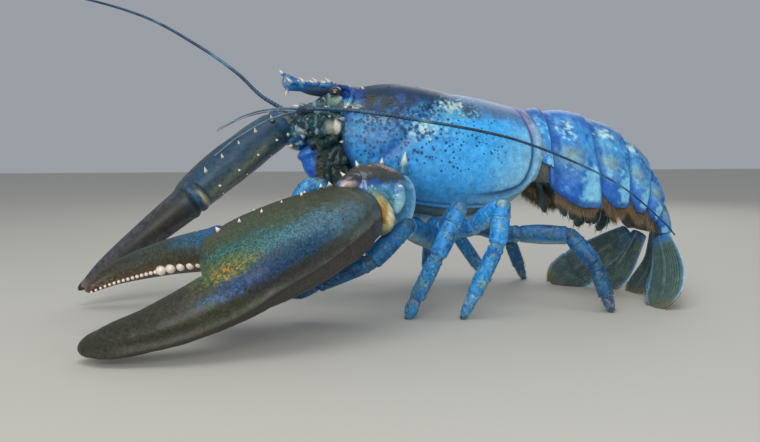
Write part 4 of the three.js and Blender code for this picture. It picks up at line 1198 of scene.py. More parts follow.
def antenna_base(word, side):
    peduncle = loft(
        mirrored([(-114, 7, 106), (-122, 17, 109), (-131, 19.5, 112.5), (-140, 20.5, 116)], side),
        [(0, 5), (0.4, 6.6), (0.5, 5.8), (0.75, 4.8), (1, 3.8)],
        [(0, 6), (0.4, 6.8), (0.5, 5.6), (0.75, 4.4), (1, 3.6)],
        ends=(0, 0.1), sides=44, steps=60,
        relief=ridges((0.7, 0.37, 0.03), (-0.9, 0.43, 0.02), (0.6, 0.7, 0.03), (-0.7, 0.75, 0.02)),
    )
    scale = loft(
        mirrored([(-120.5, 22.5, 113.5), (-129, 25.5, 115.5), (-142, 25, 119)], side),
        [(0, 2.5), (0.5, 4), (1, 0.8)], [(0, 1.8), (0.6, 1.2), (1, 0.5)], ends=(0.1, 0.1), sides=36, steps=40,
        relief=lambda t, a: 0.5 * np.abs(np.sin(t * 22)) * rise(np.abs(np.cos(a)), 0.8, 1),
    )
    plates = [
        loft(mirrored(path, side), wide, deep, ends=(0.2, 0.2), sides=24, steps=20)
        for path, wide, deep in (
            ([(-120, 22, 107), (-124.5, 25, 108.5), (-129, 24.6, 107.5)], 3.6, 4.4),
            ([(-125, 24, 114), (-132, 26, 112.5)], 2.4, 2.6),
            ([(-128, 23.5, 104), (-134, 24.5, 106.5)], 2.6, 2),
            ([(-121, 20, 102), (-127, 23, 101)], 3, 2.4),
            ([(-124, 17, 101), (-132, 19, 98.5)], 4.6, 4),
            ([(-133, 22, 110), (-138, 24.4, 112)], 2.4, 2.2),
        )
    ]
    form = fused("antenna_base", [peduncle, scale, *plates], voxel=0.42, rounds=2)
    p = form.points
    fine, grain = marbling(p, 2.4, 2), mottle(p, 1.4, 5)
    tint = layered(
        p, "#27524f",
        ("#1d5488", rise(marbling(p, 4) + grain * 0.6, -0.05, 0.5) * 0.75),
        ("#2a2c1c", rise(marbling(p, 3.4, 6) + grain * 0.5, 0, 0.5) * 0.8),
        ("#8cc6cc", rise(fine + grain * 0.6, 0.35, 0.75) * 0.85),
        ("#182c30", rise(p[:, 2], 107, 103) * 0.8),
        ("#8f9684", blot(p, (-124.5, 24 * side, 108), (5.4, 8, 5), fine * 0.2) * 0.9),
        ("#ded8c6", blot(p, (-121.5, 24 * side, 109), (2.8, 8, 5), fine * 0.2) * 0.95),
        ("#a9c4be", bell(p[:, 0], -133.5, 0.8) * 0.5),
    )
    node = f"antenna_base_{word}"
    add_piece(f"{node}_shell", form, BACK_SHELL, "head_limb", [node], tint, 0.3 * rise(fine, 0, 0.6))
    at, aim, long, wide = zip(
        ((-131, 25.5, 117), (-1, 0.4, 0.3), 6, 1.5), ((-142, 25, 119.5), (-1, 0.1, 0.2), 5, 1.1),
        ((-124, 19, 118.5), (-1, 0.1, 0.6), 4.5, 1.3), ((-129, 22, 107), (-1, 0.4, -0.5), 4.5, 1.4),
        ((-135, 17, 117), (-1, -0.3, 0.4), 3.5, 1.0), ((-137, 24, 113), (-1, 0.6, -0.1), 3, 0.9),
        ((-126, 28.5, 114), (-0.6, 1, 0.2), 3, 0.9), ((-134, 28.3, 116.5), (-0.6, 1, 0.2), 2.6, 0.8),
    )
    at, aim = mirrored(at, side), mirrored(aim, side)
    grow(f"{node}_spines", at, aim, long, wide, SPINE_HORN, "head_limb", [node], sides=9, rings=4)
    tufts = 260
    t = chance.random(tufts)
    angle = chance.uniform(0, 2 * math.pi, tufts)
    line = Line([(-116, 21 * side, 109), (-142, 23 * side, 118)])
    ring = np.column_stack([np.zeros(tufts), np.cos(angle) * 4.5, np.sin(angle) * 4])
    roots, aims, long = line.point(t) + ring, ring + [-5, 0, 0], chance.uniform(1.5, 3.5, tufts)
    bake = np.column_stack([t, angle / 6.4])
    bristles(f"{node}_tufts", roots, aims, long, 0.12, BRISTLE_PALE, "head_limb", [node], bake, 2)


def feeler(name, line, start, end, thickness, ring, node):
    """One length of a feeler, from share start to end of its line."""
    t = np.linspace(start, end, max(int(line.whole * (end - start) / 2), 12))
    bare = bpy.data.meshes.new(name + "_path")
    bare.from_pydata(framed(line.point(t)), [(i, i + 1) for i in range(len(t) - 1)], [])
    store(bare, "girth", "FLOAT", "value", thickness(t) * MM)
    settings = {"Ring length": ring * MM, "Ring depth": 0.22, "Step": 0.28 * MM, "Sides": 12}
    settings["Material"] = FEELER_HORN
    mesh = modelled(name, bare, FEELER_TREE, settings)
    p = corners_of(mesh)
    base, shade = ("#6a8290", "#3a5260") if name.startswith("antennule") else ("#1d4666", "#12273a")
    paint(mesh, layered(
        p, base,
        (shade, rise(marbling(p, 7), -0.2, 0.5) * 0.8),
        ("#6596b0", rise(marbling(p, 18, 2), 0.15, 0.6) * 0.5),
    ))
    keep_piece(name, mesh, FEELER_HORN, "feeler", [node])


def antennule(word, side):
    nodes = [f"antennule_{word}"]
    stem = loft(
        mirrored([(-113, 6, 119), (-125, 7, 122), (-139, 7, 119.5)], side),
        [(0, 4.6), (0.45, 4.6), (0.62, 3), (1, 1.7)], [(0, 6.5), (0.45, 6.4), (0.62, 3.4), (1, 1.7)],
        ends=(0, 0.1), sides=28, steps=60,
        relief=ridges((0.5, 0.42, 0.03), (-0.6, 0.47, 0.02), (0.4, 0.73, 0.03), (-0.5, 0.77, 0.02)),
    )
    p = stem.points
    tint = layered(
        p, "#33574f",
        ("#22508a", rise(marbling(p, 3), 0, 0.5) * 0.8),
        ("#23241a", rise(marbling(p, 4, 4), 0, 0.4) * 0.8),
        ("#9cc4c0", ringed(stem, (0.42, 0.73)) * 0.5),
        ("#7fb4b4", rise(marbling(p, 2, 7), 0.4, 0.7) * 0.7),
    )
    add_piece(f"antennule_{word}_stem", stem, BACK_SHELL, "feeler", nodes, tint)
    thin = through([(0, 0.6), (1, 0.2)])
    for twin, path in (
        ("inner", [(-137, 6.4, 119), (-156, 8, 114), (-176, 12, 103), (-190, 17, 92)]),
        ("outer", [(-137, 7.6, 119), (-155, 14, 119), (-172, 22, 115), (-188, 30, 107)]),
    ):
        feeler(f"antennule_{word}_{twin}", Line(mirrored(path, side)), 0, 1, thin, 0.7, nodes[0])


FEELERS = {
    "left": [
        (-138.5, -20.5, 115.5), (-143.5, -25, 117), (-140, -32.5, 118), (-120, -38.5, 117.5),
        (-89, -44, 113.5), (-31.5, -48, 103.6), (6.7, -46, 92), (49, -42, 74), (84, -36, 50), (93, -34, 42),
    ],
    "right": [
        (-138.5, 20.5, 115.5), (-148, 21.5, 121), (-160.8, 24, 129), (-174, 30, 142.3), (-195.7, 40, 158.8),
        (-230, 55, 179), (-276, 75, 194), (-320, 92, 202), (-352, 104, 205),
    ],
}
FEELER_PARTING = 0.5


def mouth_limb(word, side):
    """The third maxilliped: a heavy bent limb, with smaller palps behind it and a dark brush of bristles."""
    upper = mirrored([(-96, 8, 57), (-110, 9, 61), (-121, 9.5, 69), (-131, 9, 77)], side)
    lower = mirrored([(-130, 9, 77), (-137, 8, 72.5), (-142, 7.5, 65), (-143, 6.5, 56)], side)
    palp = [(-112, 0, -2), (-120, 1, 1), (-125, 1, -8), (-124.5, 0, -24)]
    palps = [
        mirrored([(x, y + out, z + top) for x, y, z in palp], side)
        for out, top in ((4, 103), (10, 99), (14.5, 95))
    ]
    form = fused(
        f"mouth_limb_{word}",
        [
            loft(
                upper, [(0, 5), (0.5, 5.2), (1, 4)], [(0, 6), (0.5, 6), (1, 4.4)], ends=(0, 0.1), sides=32,
                relief=ridges((0.5, 0.62, 0.03), (-0.7, 0.67, 0.02)),
            ),
            loft(
                lower, [(0, 3.4), (0.6, 3), (1, 1.2)], [(0, 3.6), (0.6, 3), (1, 1.2)],
                ends=(0.1, 0.08), sides=28,
                relief=ridges((0.4, 0.34, 0.03), (-0.5, 0.4, 0.02), (0.3, 0.66, 0.03), (-0.4, 0.71, 0.02)),
            ),
        ],
        voxel=0.5, rounds=2,
    )
    p = form.points
    fine = marbling(p, 3, 8)
    tint = layered(
        p, "#2f86c0",
        ("#72b8d4", rise(fine + marbling(p, 7) * 0.6, -0.1, 0.5) * 0.8),
        ("#15529c", rise(marbling(p, 6), 0.1, 0.5) * 0.6),
        ("#27434f", rise(p[:, 2], 62, 56) * 0.7),
        ("#7f9a90", blot(p, (-131, 9 * side, 79), (5, 6, 3), fine * 0.4) * 0.5),
    )
    node = f"mouth_limb_{word}"
    add_piece(f"{node}_shell", form, LEG_SHELL, "head_limb", [node], tint, 0.3 * rise(fine, 0, 0.5))
    jaw = loft(
        mirrored([(-104, 5, 106), (-116, 9, 98), (-119, 10, 84), (-112, 9, 68)], side),
        [(0, 6), (0.4, 8), (1, 6)], sides=48, steps=60,
        relief=lambda t, a: 0.5 * np.cos(9 * a + 6 * t) + 0.2 * np.cos(t * 33),
    )
    leaves = together(jaw, *(
        loft(
            path, [(0, 3), (0.5, 2.6), (1, 1)], [(0, 3.4), (0.5, 2.6), (1, 0.9)], ends=(0.1, 0.1), sides=24,
            relief=ridges((0.3, 0.45, 0.03), (-0.4, 0.5, 0.02)),
        )
        for path in palps
    ))
    fine = marbling(leaves.points, 3, 2)
    tint = layered(
        fine, "#20302f",
        ("#1d4668", rise(fine, 0, 0.5) * 0.5),
        ("#5d7068", rise(marbling(leaves.points, 2, 6), 0.15, 0.6) * 0.7),
    )
    add_piece(f"mouth_palps_{word}", leaves, LEG_SHELL, "head_limb", [node], tint)
    roots, aims, bake = [], [], []
    for path, count in ((upper, 260), (lower, 240), *((palp, 170) for palp in palps)):
        line = Line(path)
        for _ in range(count):
            t = np.array(chance.random())
            heading = line.heading(t)
            swing = chance.uniform(-0.6, 0.6)
            out = np.cross(heading, (0, 1, 0))
            out = unit(out) * math.cos(swing) + np.array([0, side * -1, 0]) * math.sin(swing)
            out *= 1 if path is lower else chance.choice([-1, 1])
            roots.append(line.point(t) + out * (2.8 if count > 200 else 1.8))
            aims.append(out + heading * chance.uniform(0.2, 0.9))
            bake.append((float(t), 0.5 + swing / 3))
    long = chance.uniform(2.5, 5.5, len(roots))
    bristles(f"{node}_brush", roots, aims, long, 0.14, BRISTLE_DARK, "head_limb", [node], bake, 3, rings=3)


for word, side in SIDES.items():
    eye(word, side)
    antenna_base(word, side)
    antennule(word, side)
    mouth_limb(word, side)
    girth = through([(0, 1.9), (0.04, 1.3), (0.15, 1.0), (0.5, 0.75), (1, 0.4)])
    long_line = Line(FEELERS[word])
    for part, start, end in (("root", 0, FEELER_PARTING), ("tip", FEELER_PARTING, 1)):
        node = f"feeler_{word}_{part}"
        feeler(f"{node}_rings", long_line, start, end, girth, 1.1, node)


# Claws: a local frame with s along the claw, w towards the moving finger and h out of its upper face


class ClawFrame:
    def __init__(self, base, tip, roll, side):
        base, tip, roll = np.array(base, float), np.array(tip, float), math.radians(roll)
        along = unit(tip - base)
        level = unit(np.cross((0, 0, 1), along))
        level = -level if level[1] * side > 0 else level
        up = unit(np.cross(along, level))
        up = -up if up[2] < 0 else up
        across = level * math.cos(roll) + up * math.sin(roll)
        face = up * math.cos(roll) - level * math.sin(roll)
        self.base, self.axes = base, np.stack([along, across, face])

    def out(self, places):
        return self.base + np.asarray(places, float) @ self.axes

    def within(self, points):
        return (points - self.base) @ self.axes.T

    def placed(self, form):
        form.points = self.out(form.points)
        return outward(form)

    def way(self, direction):
        return np.asarray(direction, float) @ self.axes


CRUSHER = ClawFrame((-107, -75, 67), (-252, -92, 12.5), 17, SIDES["left"])
CUTTER = ClawFrame((-139, 38, 116), (-274, 31, 9), 4, SIDES["right"])


def teeth(node, claw, edge, big, beads, aim):
    """Rounded teeth sunk in a finger's biting edge: big ones as (share of the edge, radius), then beads."""
    line = Line(edge)
    beyond = np.linspace(big[-1][0] + 0.045, 0.985, beads)
    share, radius = zip(*big)
    place = np.concatenate([share, beyond])
    radius = np.concatenate([radius, np.linspace(1.15, 0.7, beads)])
    aims = np.tile(claw.way(aim), (len(place), 1)) + chance.normal(0, 0.06, (len(place), 3))
    roots = claw.out(line.point(place)) - unit(aims) * radius[:, None] * 0.3
    form = dict(sides=14, rings=9, fullness=0, rounded=True)
    grow(f"{node}_teeth", roots, aims, radius * 1.1, radius, TOOTH_LIME, "claw_shell", [node], **form)


def thorns(node, claw, places):
    """Spines given as (root, aim, length, radius) in the claw's own frame."""
    roots, aims, long, wide = zip(*places)
    roots, aims, form = claw.out(roots), claw.way(aims), dict(sides=12, rings=5, fullness=1.0)
    grow(f"{node}_spines", roots, aims, long, wide, BROWN_SPINE_HORN, "claw_shell", [node], **form)


def claw_piece(node, skin, tint, speck, fleck=None):
    add_piece(f"{node}_shell", skin, CLAW_SHELL, "claw_shell", [node], tint, speck, fleck)


def palm_relief(skin, claw, keel, tip_s):
    """A keel along the outer edge, a furrow above it, a collar at the wrist and a worn shell's slow dents."""
    s, w, h = claw.within(skin.points).T
    outer = rise(-w, 8, 15)
    high = h - keel(s)
    proud = 1.25 * bell(high, 0, 1.3) * outer - 0.9 * bell(high, 3.8, 2.2) * outer
    proud -= 0.8 * bell(high, -5, 3.2) * outer
    proud += 0.6 * bell(s, 8, 1.6) - 0.6 * bell(s, 12, 1.8)
    dents = (0.4, 15, 2), (0.14, 4, 6), (0.06, 1.7, 8)
    proud += sum(height * mottle(skin.points, grain, seed) for height, grain, seed in dents)
    proud *= rise(s, tip_s, tip_s - 12)
    skin.points = skin.points + skin.normals * proud[:, None]
    skin.points[:, 2] = np.maximum(skin.points[:, 2], 0)


def crusher():
    palm = loft(
        [(0, 0, 0), (22, -1, 0), (50, -1.5, 0), (75, -3, 0), (97, -4, 0)],
        [(0, 11.5), (0.17, 18.5), (0.42, 27), (0.72, 32), (0.9, 29), (1, 24)],
        [(0, 12), (0.2, 17), (0.5, 18.8), (0.8, 17), (1, 13)],
        square=2.5, ends=(0.17, 0.1), sides=110, steps=80,
    )
    fixed = loft(
        [(62, -14, -1), (90, -20.5, -1.5), (118, -22, -2), (143, -16.5, -2.5), (CRUSHER_LENGTH - 3, -8, -3)],
        [(0, 19), (0.3, 15.5), (0.6, 12.6), (0.85, 9.4), (1, 4.5)],
        [(0, 15), (0.3, 13.5), (0.6, 10.5), (0.85, 7.4), (1, 3.4)], ends=(0.04, 0.06), sides=90, steps=80,
    )
    skin = fused("crusher_palm", [CRUSHER.placed(palm), CRUSHER.placed(fixed)], voxel=0.68, rounds=6)
    keel = through([(10, 2), (40, -0.5), (66, -1), (82, -3.5), (100, -4.5), (130, -4), (155, -3)])
    palm_relief(skin, CRUSHER, keel, CRUSHER_LENGTH)
    place = CRUSHER.within(skin.points)
    s, w, h = place.T
    blur, fine, spray = marbling(place, 9), marbling(place, 3.0, 3), marbling(place, 2.2, 11)
    face = np.column_stack([s, 0.9 * h + 0.42 * w])  # along the claw, and up its outer face
    high = h - keel(s)
    edge = rise(-w, 8, 15)
    under = rise(high, 0.4, -1.2) * rise(w, 12, 4)
    bare = rise(s + blur * 5 + fine * 3, 100, 116)
    soft = blur * 0.22 + fine * 0.2
    tint = layered(
        s, "#2d3024",
        ("#394638", rise(blur + fine * 0.5, -0.3, 0.5) * 0.7),
        ("#2a4a44", blot(face, (64, 8), (32, 8), soft) * 0.6),
        ("#2b4a5c", blot(face, (44, 2), (30, 8), soft) * 0.75),
        ("#4c6266", blot(face, (20, 0), (15, 13), soft) * 0.75),
        ("#08233a", blot(face, (66, -3), (26, 6.5), soft) * 0.85),
        ("#062244", blot(face, (78, -6.5), (19, 5), soft) * 0.9),
        ("#2a4c34", blot(face, (86, 2), (16, 5), soft) * 0.7),
        ("#26292b", blot(face, (52, -12), (42, 4.5), fine * 0.4) * 0.8),
        ("#25251d", bare * 0.9),
        ("#322f2d", under * 0.92),
        ("#201f1e", under * rise(high, -9, -14) * 0.5),
        ("#6b6459", bell(high, 0.2, 0.6) * edge * rise(s, 150, 110) * 0.55),
        ("#2f5f8c", bell(s, 8, 2.4) * 0.5),
        ("#1c5494", rise(w, 18, 24) * rise(s, 85, 60) * 0.7),
    )
    fleck = layered(
        s, "#4a4c34",
        ("#55643f", blot(face, (66, 12), (34, 9), soft) * 0.8),
        ("#4f88a4", blot(face, (44, 3), (30, 8), soft + spray * 0.3) * 0.85),
        ("#3a8a8c", blot(face, (74, 5), (26, 7), soft + spray * 0.4) * 0.8),
        ("#185074", blot(face, (62, -3), (30, 6), soft + spray * 0.4) * 0.9),
        ("#104a7c", blot(face, (80, -6), (18, 4.6), soft + spray * 0.3) * 0.9),
        ("#728040", blot(face, (86, 2.2), (17, 5.4), soft + spray * 0.6) * 0.85),
        ("#c0953a", blot(face, (87, 1), (11, 3.4), soft + spray * 1.1 + 0.4) * 0.95),
        ("#3a3a3a", blot(face, (52, -12), (42, 4.5), fine * 0.4) * 0.8),
        ("#3d3b2c", bare * 0.85),
        ("#4d4744", under * 0.9),
        ("#2f6fa8", blot(face, (96, -8), (14, 3), spray * 0.8 + 0.2) * 0.6),
    )
    node = "claw_left_palm"
    claw_piece(node, skin, tint, 0.35 + 0.4 * rise(spray, -0.1, 0.5), fleck)
    biting = [(92, -7, 2.5), (116, -11.5, 3.2), (138, -9.6, 1), (154, -5.6, -1.2)]
    big = [(0.03, 2.6), (0.11, 3.0), (0.19, 2.4), (0.26, 2.0), (0.32, 1.8), (0.375, 1.6), (0.425, 1.4)]
    teeth(node, CRUSHER, biting, big, 16, (0, 1, 0.3))
    row = [((t, 11 - 0.05 * t, 16.8), (-0.35, 0.55, 1), 2.8, 1.1) for t in (26, 37, 48, 59, 71)]
    row += [((t, 20 + 0.08 * t, 9), (-0.3, 1, 0.5), 5.5, 2.0) for t in (18, 32, 46, 60)]
    row.append(((81, 12, 14.5), (0.3, 0.5, 1), 3.4, 1.5))
    row += [((14, 11, 12.5), (-0.3, 0.6, 1), 3, 1.3), ((10, 12, 9), (-0.6, 0.5, 1), 3, 1.3)]
    thorns(node, CRUSHER, row)

    ridge = [(71, 19, 0), (84, 26, 0), (108, 38, 0), (134, 45.5, -1), (152, 44, -3)]
    finger = loft(
        ridge, [(0, 10), (0.15, 11.6), (0.5, 9.2), (0.8, 6), (1, 2.4)],
        [(0, 10.5), (0.15, 11), (0.5, 9), (0.8, 5.8), (1, 2)],
        ends=(0.06, 0.04), sides=90, steps=90, relief=ridges((-0.8, 0.1, 0.02), (0.6, 0.15, 0.03)),
    )
    path = [(80, 15, 6), (82, 22, 9.5), (84, 28, 7)]
    knob = loft(path, [(0, 2), (0.5, 4), (1, 2)], [(0, 2), (0.5, 3), (1, 2)], sides=24)
    skin = fused("crusher_finger", [CRUSHER.placed(finger), CRUSHER.placed(knob)], voxel=0.6, rounds=4)
    place = CRUSHER.within(skin.points)
    s, w, h = place.T
    fine, grain = marbling(place, 3, 4), mottle(place, 1.5, 9)
    middle = Line(ridge).level(0, s, 1)
    inner = np.column_stack([s, w - middle])
    gum = bell(h, -2.8, 3) * rise(inner[:, 1], -2, -5) * rise(s, 84, 90) * rise(grain, -1, 0)
    tint = layered(
        s, "#2b2c22",
        ("#3f4434", rise(fine + grain * 0.4, 0, 0.5) * 0.6),
        ("#1b4660", blot(inner, (90, -2), (15, 8), fine * 0.4) * 0.85),
        ("#6b4f42", gum * 0.8),
        ("#26241f", rise(s, 118, 146) * 0.5),
        # painted shadow: the finger's underside below the teeth is darkened to near black
        ("#141310", rise(h, -4.5, -7) * 0.8),
        ("#94695c", rise(s, 148, 153) * 0.7),
        ("#164a94", blot(place, (82, 20, 9), (7, 9, 4), grain * 0.4) * 0.85),
        ("#cfd0c0", blot(place, (80, 14.5, 6), (3, 3, 3)) * 0.8),
    )
    fleck = layered(
        s, "#45422c",
        ("#2f789c", blot(inner, (90, -2), (15, 8), fine * 0.5) * 0.85),
        ("#3f5a5a", blot(inner, (108, -3), (20, 5), fine * 0.6) * 0.6),
        ("#9a7a68", gum * 0.8),
        ("#9a7264", rise(s, 140, 152) * 0.6),
        ("#2a6cc0", blot(place, (82, 20, 9), (7, 9, 4), grain * 0.4) * 0.9),
    )
    node = "claw_left_finger"
    claw_piece(node, skin, tint, 0.3 + 0.4 * rise(fine, 0, 0.5), fleck)
    biting = [(87, 16.6, -2.4), (112, 29.2, -1.9), (138, 39, -2.6), (150, 41.6, -3.8)]
    big = [(0.015, 2.4), (0.055, 3.0), (0.1, 2.6), (0.14, 2.1)]
    big += [(0.205, 2.4), (0.28, 2.4), (0.36, 2.7), (0.435, 2.8)]
    teeth(node, CRUSHER, biting, big, 15, (0.3, -1, -0.5))
    row = [((80.5, 17, 8.5), (-0.2, 0.1, 1), 3.6, 1.5), ((90, 30, 8.5), (-0.2, 0.8, 0.8), 3, 1.3)]
    thorns(node, CRUSHER, row)


def cutter():
    palm = loft(
        [(0, 0, 0), (22, -0.5, 1.5), (50, -1, 2.5), (74, -1, 2), (92, -3, 0)],
        [(0, 11), (0.2, 18), (0.5, 24), (0.8, 24.5), (1, 19)],
        [(0, 9.5), (0.2, 12), (0.55, 13), (0.85, 12), (1, 9.5)],
        square=2.2, ends=(0.1, 0.1), sides=90, steps=70,
    )
    fixed = loft(
        [(64, -10, 0), (96, -14, 0), (130, -12.5, 0), (CUTTER_LENGTH, 0, 0)],
        [(0, 14), (0.3, 11), (0.7, 7.5), (1, 2)], [(0, 11), (0.3, 9), (0.7, 6.5), (1, 2)],
        ends=(0.04, 0.04), sides=70, steps=80,
    )
    skin = fused("cutter_palm", [CUTTER.placed(palm), CUTTER.placed(fixed)], voxel=0.68, rounds=6)
    palm_relief(skin, CUTTER, through(1.0), CUTTER_LENGTH)
    place = CUTTER.within(skin.points)
    s, w, h = place.T
    blur, fine, grain = marbling(place, 8, 2), marbling(place, 3, 6), mottle(place, 1.6, 3)
    low = rise(h, 1, -6)
    tint = layered(
        s, "#27332f",
        ("#24435a", rise(blur + grain * 0.4, -0.2, 0.5) * 0.75),
        ("#3c4834", rise(fine + grain * 0.5, 0.1, 0.6) * 0.5),
        ("#255072", rise(w + fine * 3, 8, 18) * 0.5),
        # painted shade: the palm's lower face, away from its inner edge, is darkened
        ("#222c2b", low * rise(w + fine * 4, 10, 0) * 0.7),
        # painted highlight: a pale line along the palm's lower inner edge
        ("#7f8a74", bell(w + fine * 2, 20, 3.4) * rise(h, 3, -5) * rise(s, 8, 20) * 0.85),
        ("#3d6474", blot(np.column_stack([s, w]), (24, 8), (22, 7), fine * 0.5) * 0.6),
        ("#2a2a24", rise(s, 95, 125) * 0.85),
        ("#353838", rise(-w, 10, 18) * 0.6),
        ("#2f5f8c", bell(s, 8, 2.4) * 0.7),
    )
    node = "claw_right_palm"
    claw_piece(node, skin, tint, 0.25 + 0.35 * rise(fine, 0, 0.5))
    big = [(0.03, 1.5), (0.09, 1.9), (0.15, 1.4), (0.2, 1.4), (0.26, 1.8), (0.32, 1.4)]
    teeth(node, CUTTER, [(94, -2.5, 0), (130, -4.5, 0), (160, -0.5, 0)], big, 24, (0, 1, 0.1))
    row = [((14 + 13 * i, 14.5 + 1.7 * i, 6.5), (-0.3, 0.7, 0.9), 5, 1.5) for i in range(5)]
    row += [((20 + 15 * i, 17.5 + 1.8 * i, -4), (-0.3, 1, -0.3), 2.6, 1.0) for i in range(4)]
    row += [((28 + 19 * i, 10 + i, -8.6), (-0.2, 0.5, -1), 1.6, 0.8) for i in range(3)]
    thorns(node, CUTTER, row)

    path = [(74, 14, 0), (86, 18.5, 0), (112, 21.5, 0), (142, 18.5, 0), (166, 9.5, 0)]
    collar = ridges((0.7, 0.07, 0.02), (-1.0, 0.105, 0.015), (0.6, 0.14, 0.02))
    finger = loft(
        path, [(0, 9.5), (0.15, 10.4), (0.5, 8.6), (0.8, 6), (1, 2)],
        [(0, 9.5), (0.15, 10.2), (0.5, 8.2), (0.8, 5.6), (1, 2)], ends=(0.05, 0.04), sides=80, steps=90,
        relief=lambda t, a: collar(t, a) - 0.5 * bell(np.sin(a), -0.75, 0.12) * rise(t, 0.15, 0.3),
    )
    skin = fused("cutter_finger", [CUTTER.placed(finger)], voxel=0.6, rounds=2)
    place = CUTTER.within(skin.points)
    s, w, h = place.T
    fine, grain = marbling(place, 3, 4), mottle(place, 1.6, 5)
    middle = Line(path).level(0, s, 1)
    tint = layered(
        s, "#2a2a27",
        ("#50525c", rise(w - middle, 0.5, 5) * rise(w - middle, 9, 6) * rise(fine, -0.8, 0.3) * 0.8),
        ("#38362a", rise(fine + grain * 0.5, 0.1, 0.6) * 0.5),
        ("#27434e", rise(s, 94, 82) * 0.6),
        ("#1f1c19", rise(w - middle, -2, -6) * 0.7),
        ("#2c6894", bell(s, 80.5, 1.4) * rise(grain + fine, -0.5, 0.2) * 0.7),
        ("#b4b29a", bell(s + fine * 1.2, 76.5, 1.5) * rise(h, 4, -2) * 0.8),
        ("#15191b", bell(s, 83.5, 1.4) * 0.8),
        ("#a08078", rise(s, 158, 166) * 0.6),
    )
    node = "claw_right_finger"
    claw_piece(node, skin, tint, 0.25 + 0.3 * rise(fine, 0, 0.5))
    biting = [(96, 11.7, 0), (124, 13.2, 0), (150, 10.2, 0), (162, 8, 0)]
    teeth(node, CUTTER, biting, [(0.03, 1.3), (0.09, 1.2), (0.15, 1.3), (0.21, 1.2)], 30, (0.1, -1, 0))


crusher()
cutter()

# Arms: the wrist and upper arm of each claw
ARMS = {
    "left": dict(
        wrist=[(-93, -59, 71), (-107, -62.5, 75), (-124, -67, 73.5)], wide=13.5, deep=13.5,
        # the lobe in front that the claw hinges on, the shoulder over the joint skin and a ridge between them
        lobes=[
            ([(-116, -70.5, 81), (-124, -73.5, 78.6), (-130, -75, 75)],
             [(0, 3.5), (0.5, 5.2), (1, 3)], [(0, 2.6), (0.5, 4.2), (1, 3)], 28),
            ([(-99, -69, 80), (-97, -73, 72), (-99, -73, 62)],
             [(0, 2), (0.5, 3.6), (1, 2)], [(0, 2.4), (0.5, 4), (1, 2)], 28),
            ([(-112, -73.5, 79), (-104, -75.5, 75.5), (-99, -74, 68)],
             [(0, 1.2), (0.5, 1.9), (1, 1.2)], None, 20),
        ],
        arm=[(-86, -17, 49), (-90, -33, 54), (-92, -57, 68)], arm_wide=8.5, arm_deep=18,
        thorns=[
            ((-104, -62, 87), (0.1, 0, 1)), ((-117, -65, 86), (-0.4, 0, 1)),
            ((-124, -66, 81), (-1, 0, 1)), ((-112, -75, 76), (-0.2, -1, 0.4)),
            ((-97, -73, 76), (0.2, -1, 0.2)), ((-96, -70, 68), (0.3, -1, 0)),
        ],
        tall=((-91, -57, 82), (0.1, -0.1, 1), 12.5, 3.6),
    ),
    "right": dict(
        wrist=[(-128, 30, 101), (-134, 34, 107), (-141, 38, 114)], wide=12, deep=13, lobes=[],
        arm=[(-86, 17, 49), (-106, 20, 60), (-124.5, 26, 81), (-131, 29, 98)], arm_wide=8.5, arm_deep=8.8,
        thorns=[
            ((-143, 26, 104), (-0.8, -0.3, 0.9)), ((-134, 22.5, 103), (-0.7, -0.5, 0.5)),
            ((-128, 36, 114), (0.4, 0.2, 1)), ((-141, 25, 98), (-0.9, -0.5, -0.1)),
        ],
        tall=((-120, 30, 103), (0.6, 0, 1), 8, 2.8),
    ),
}


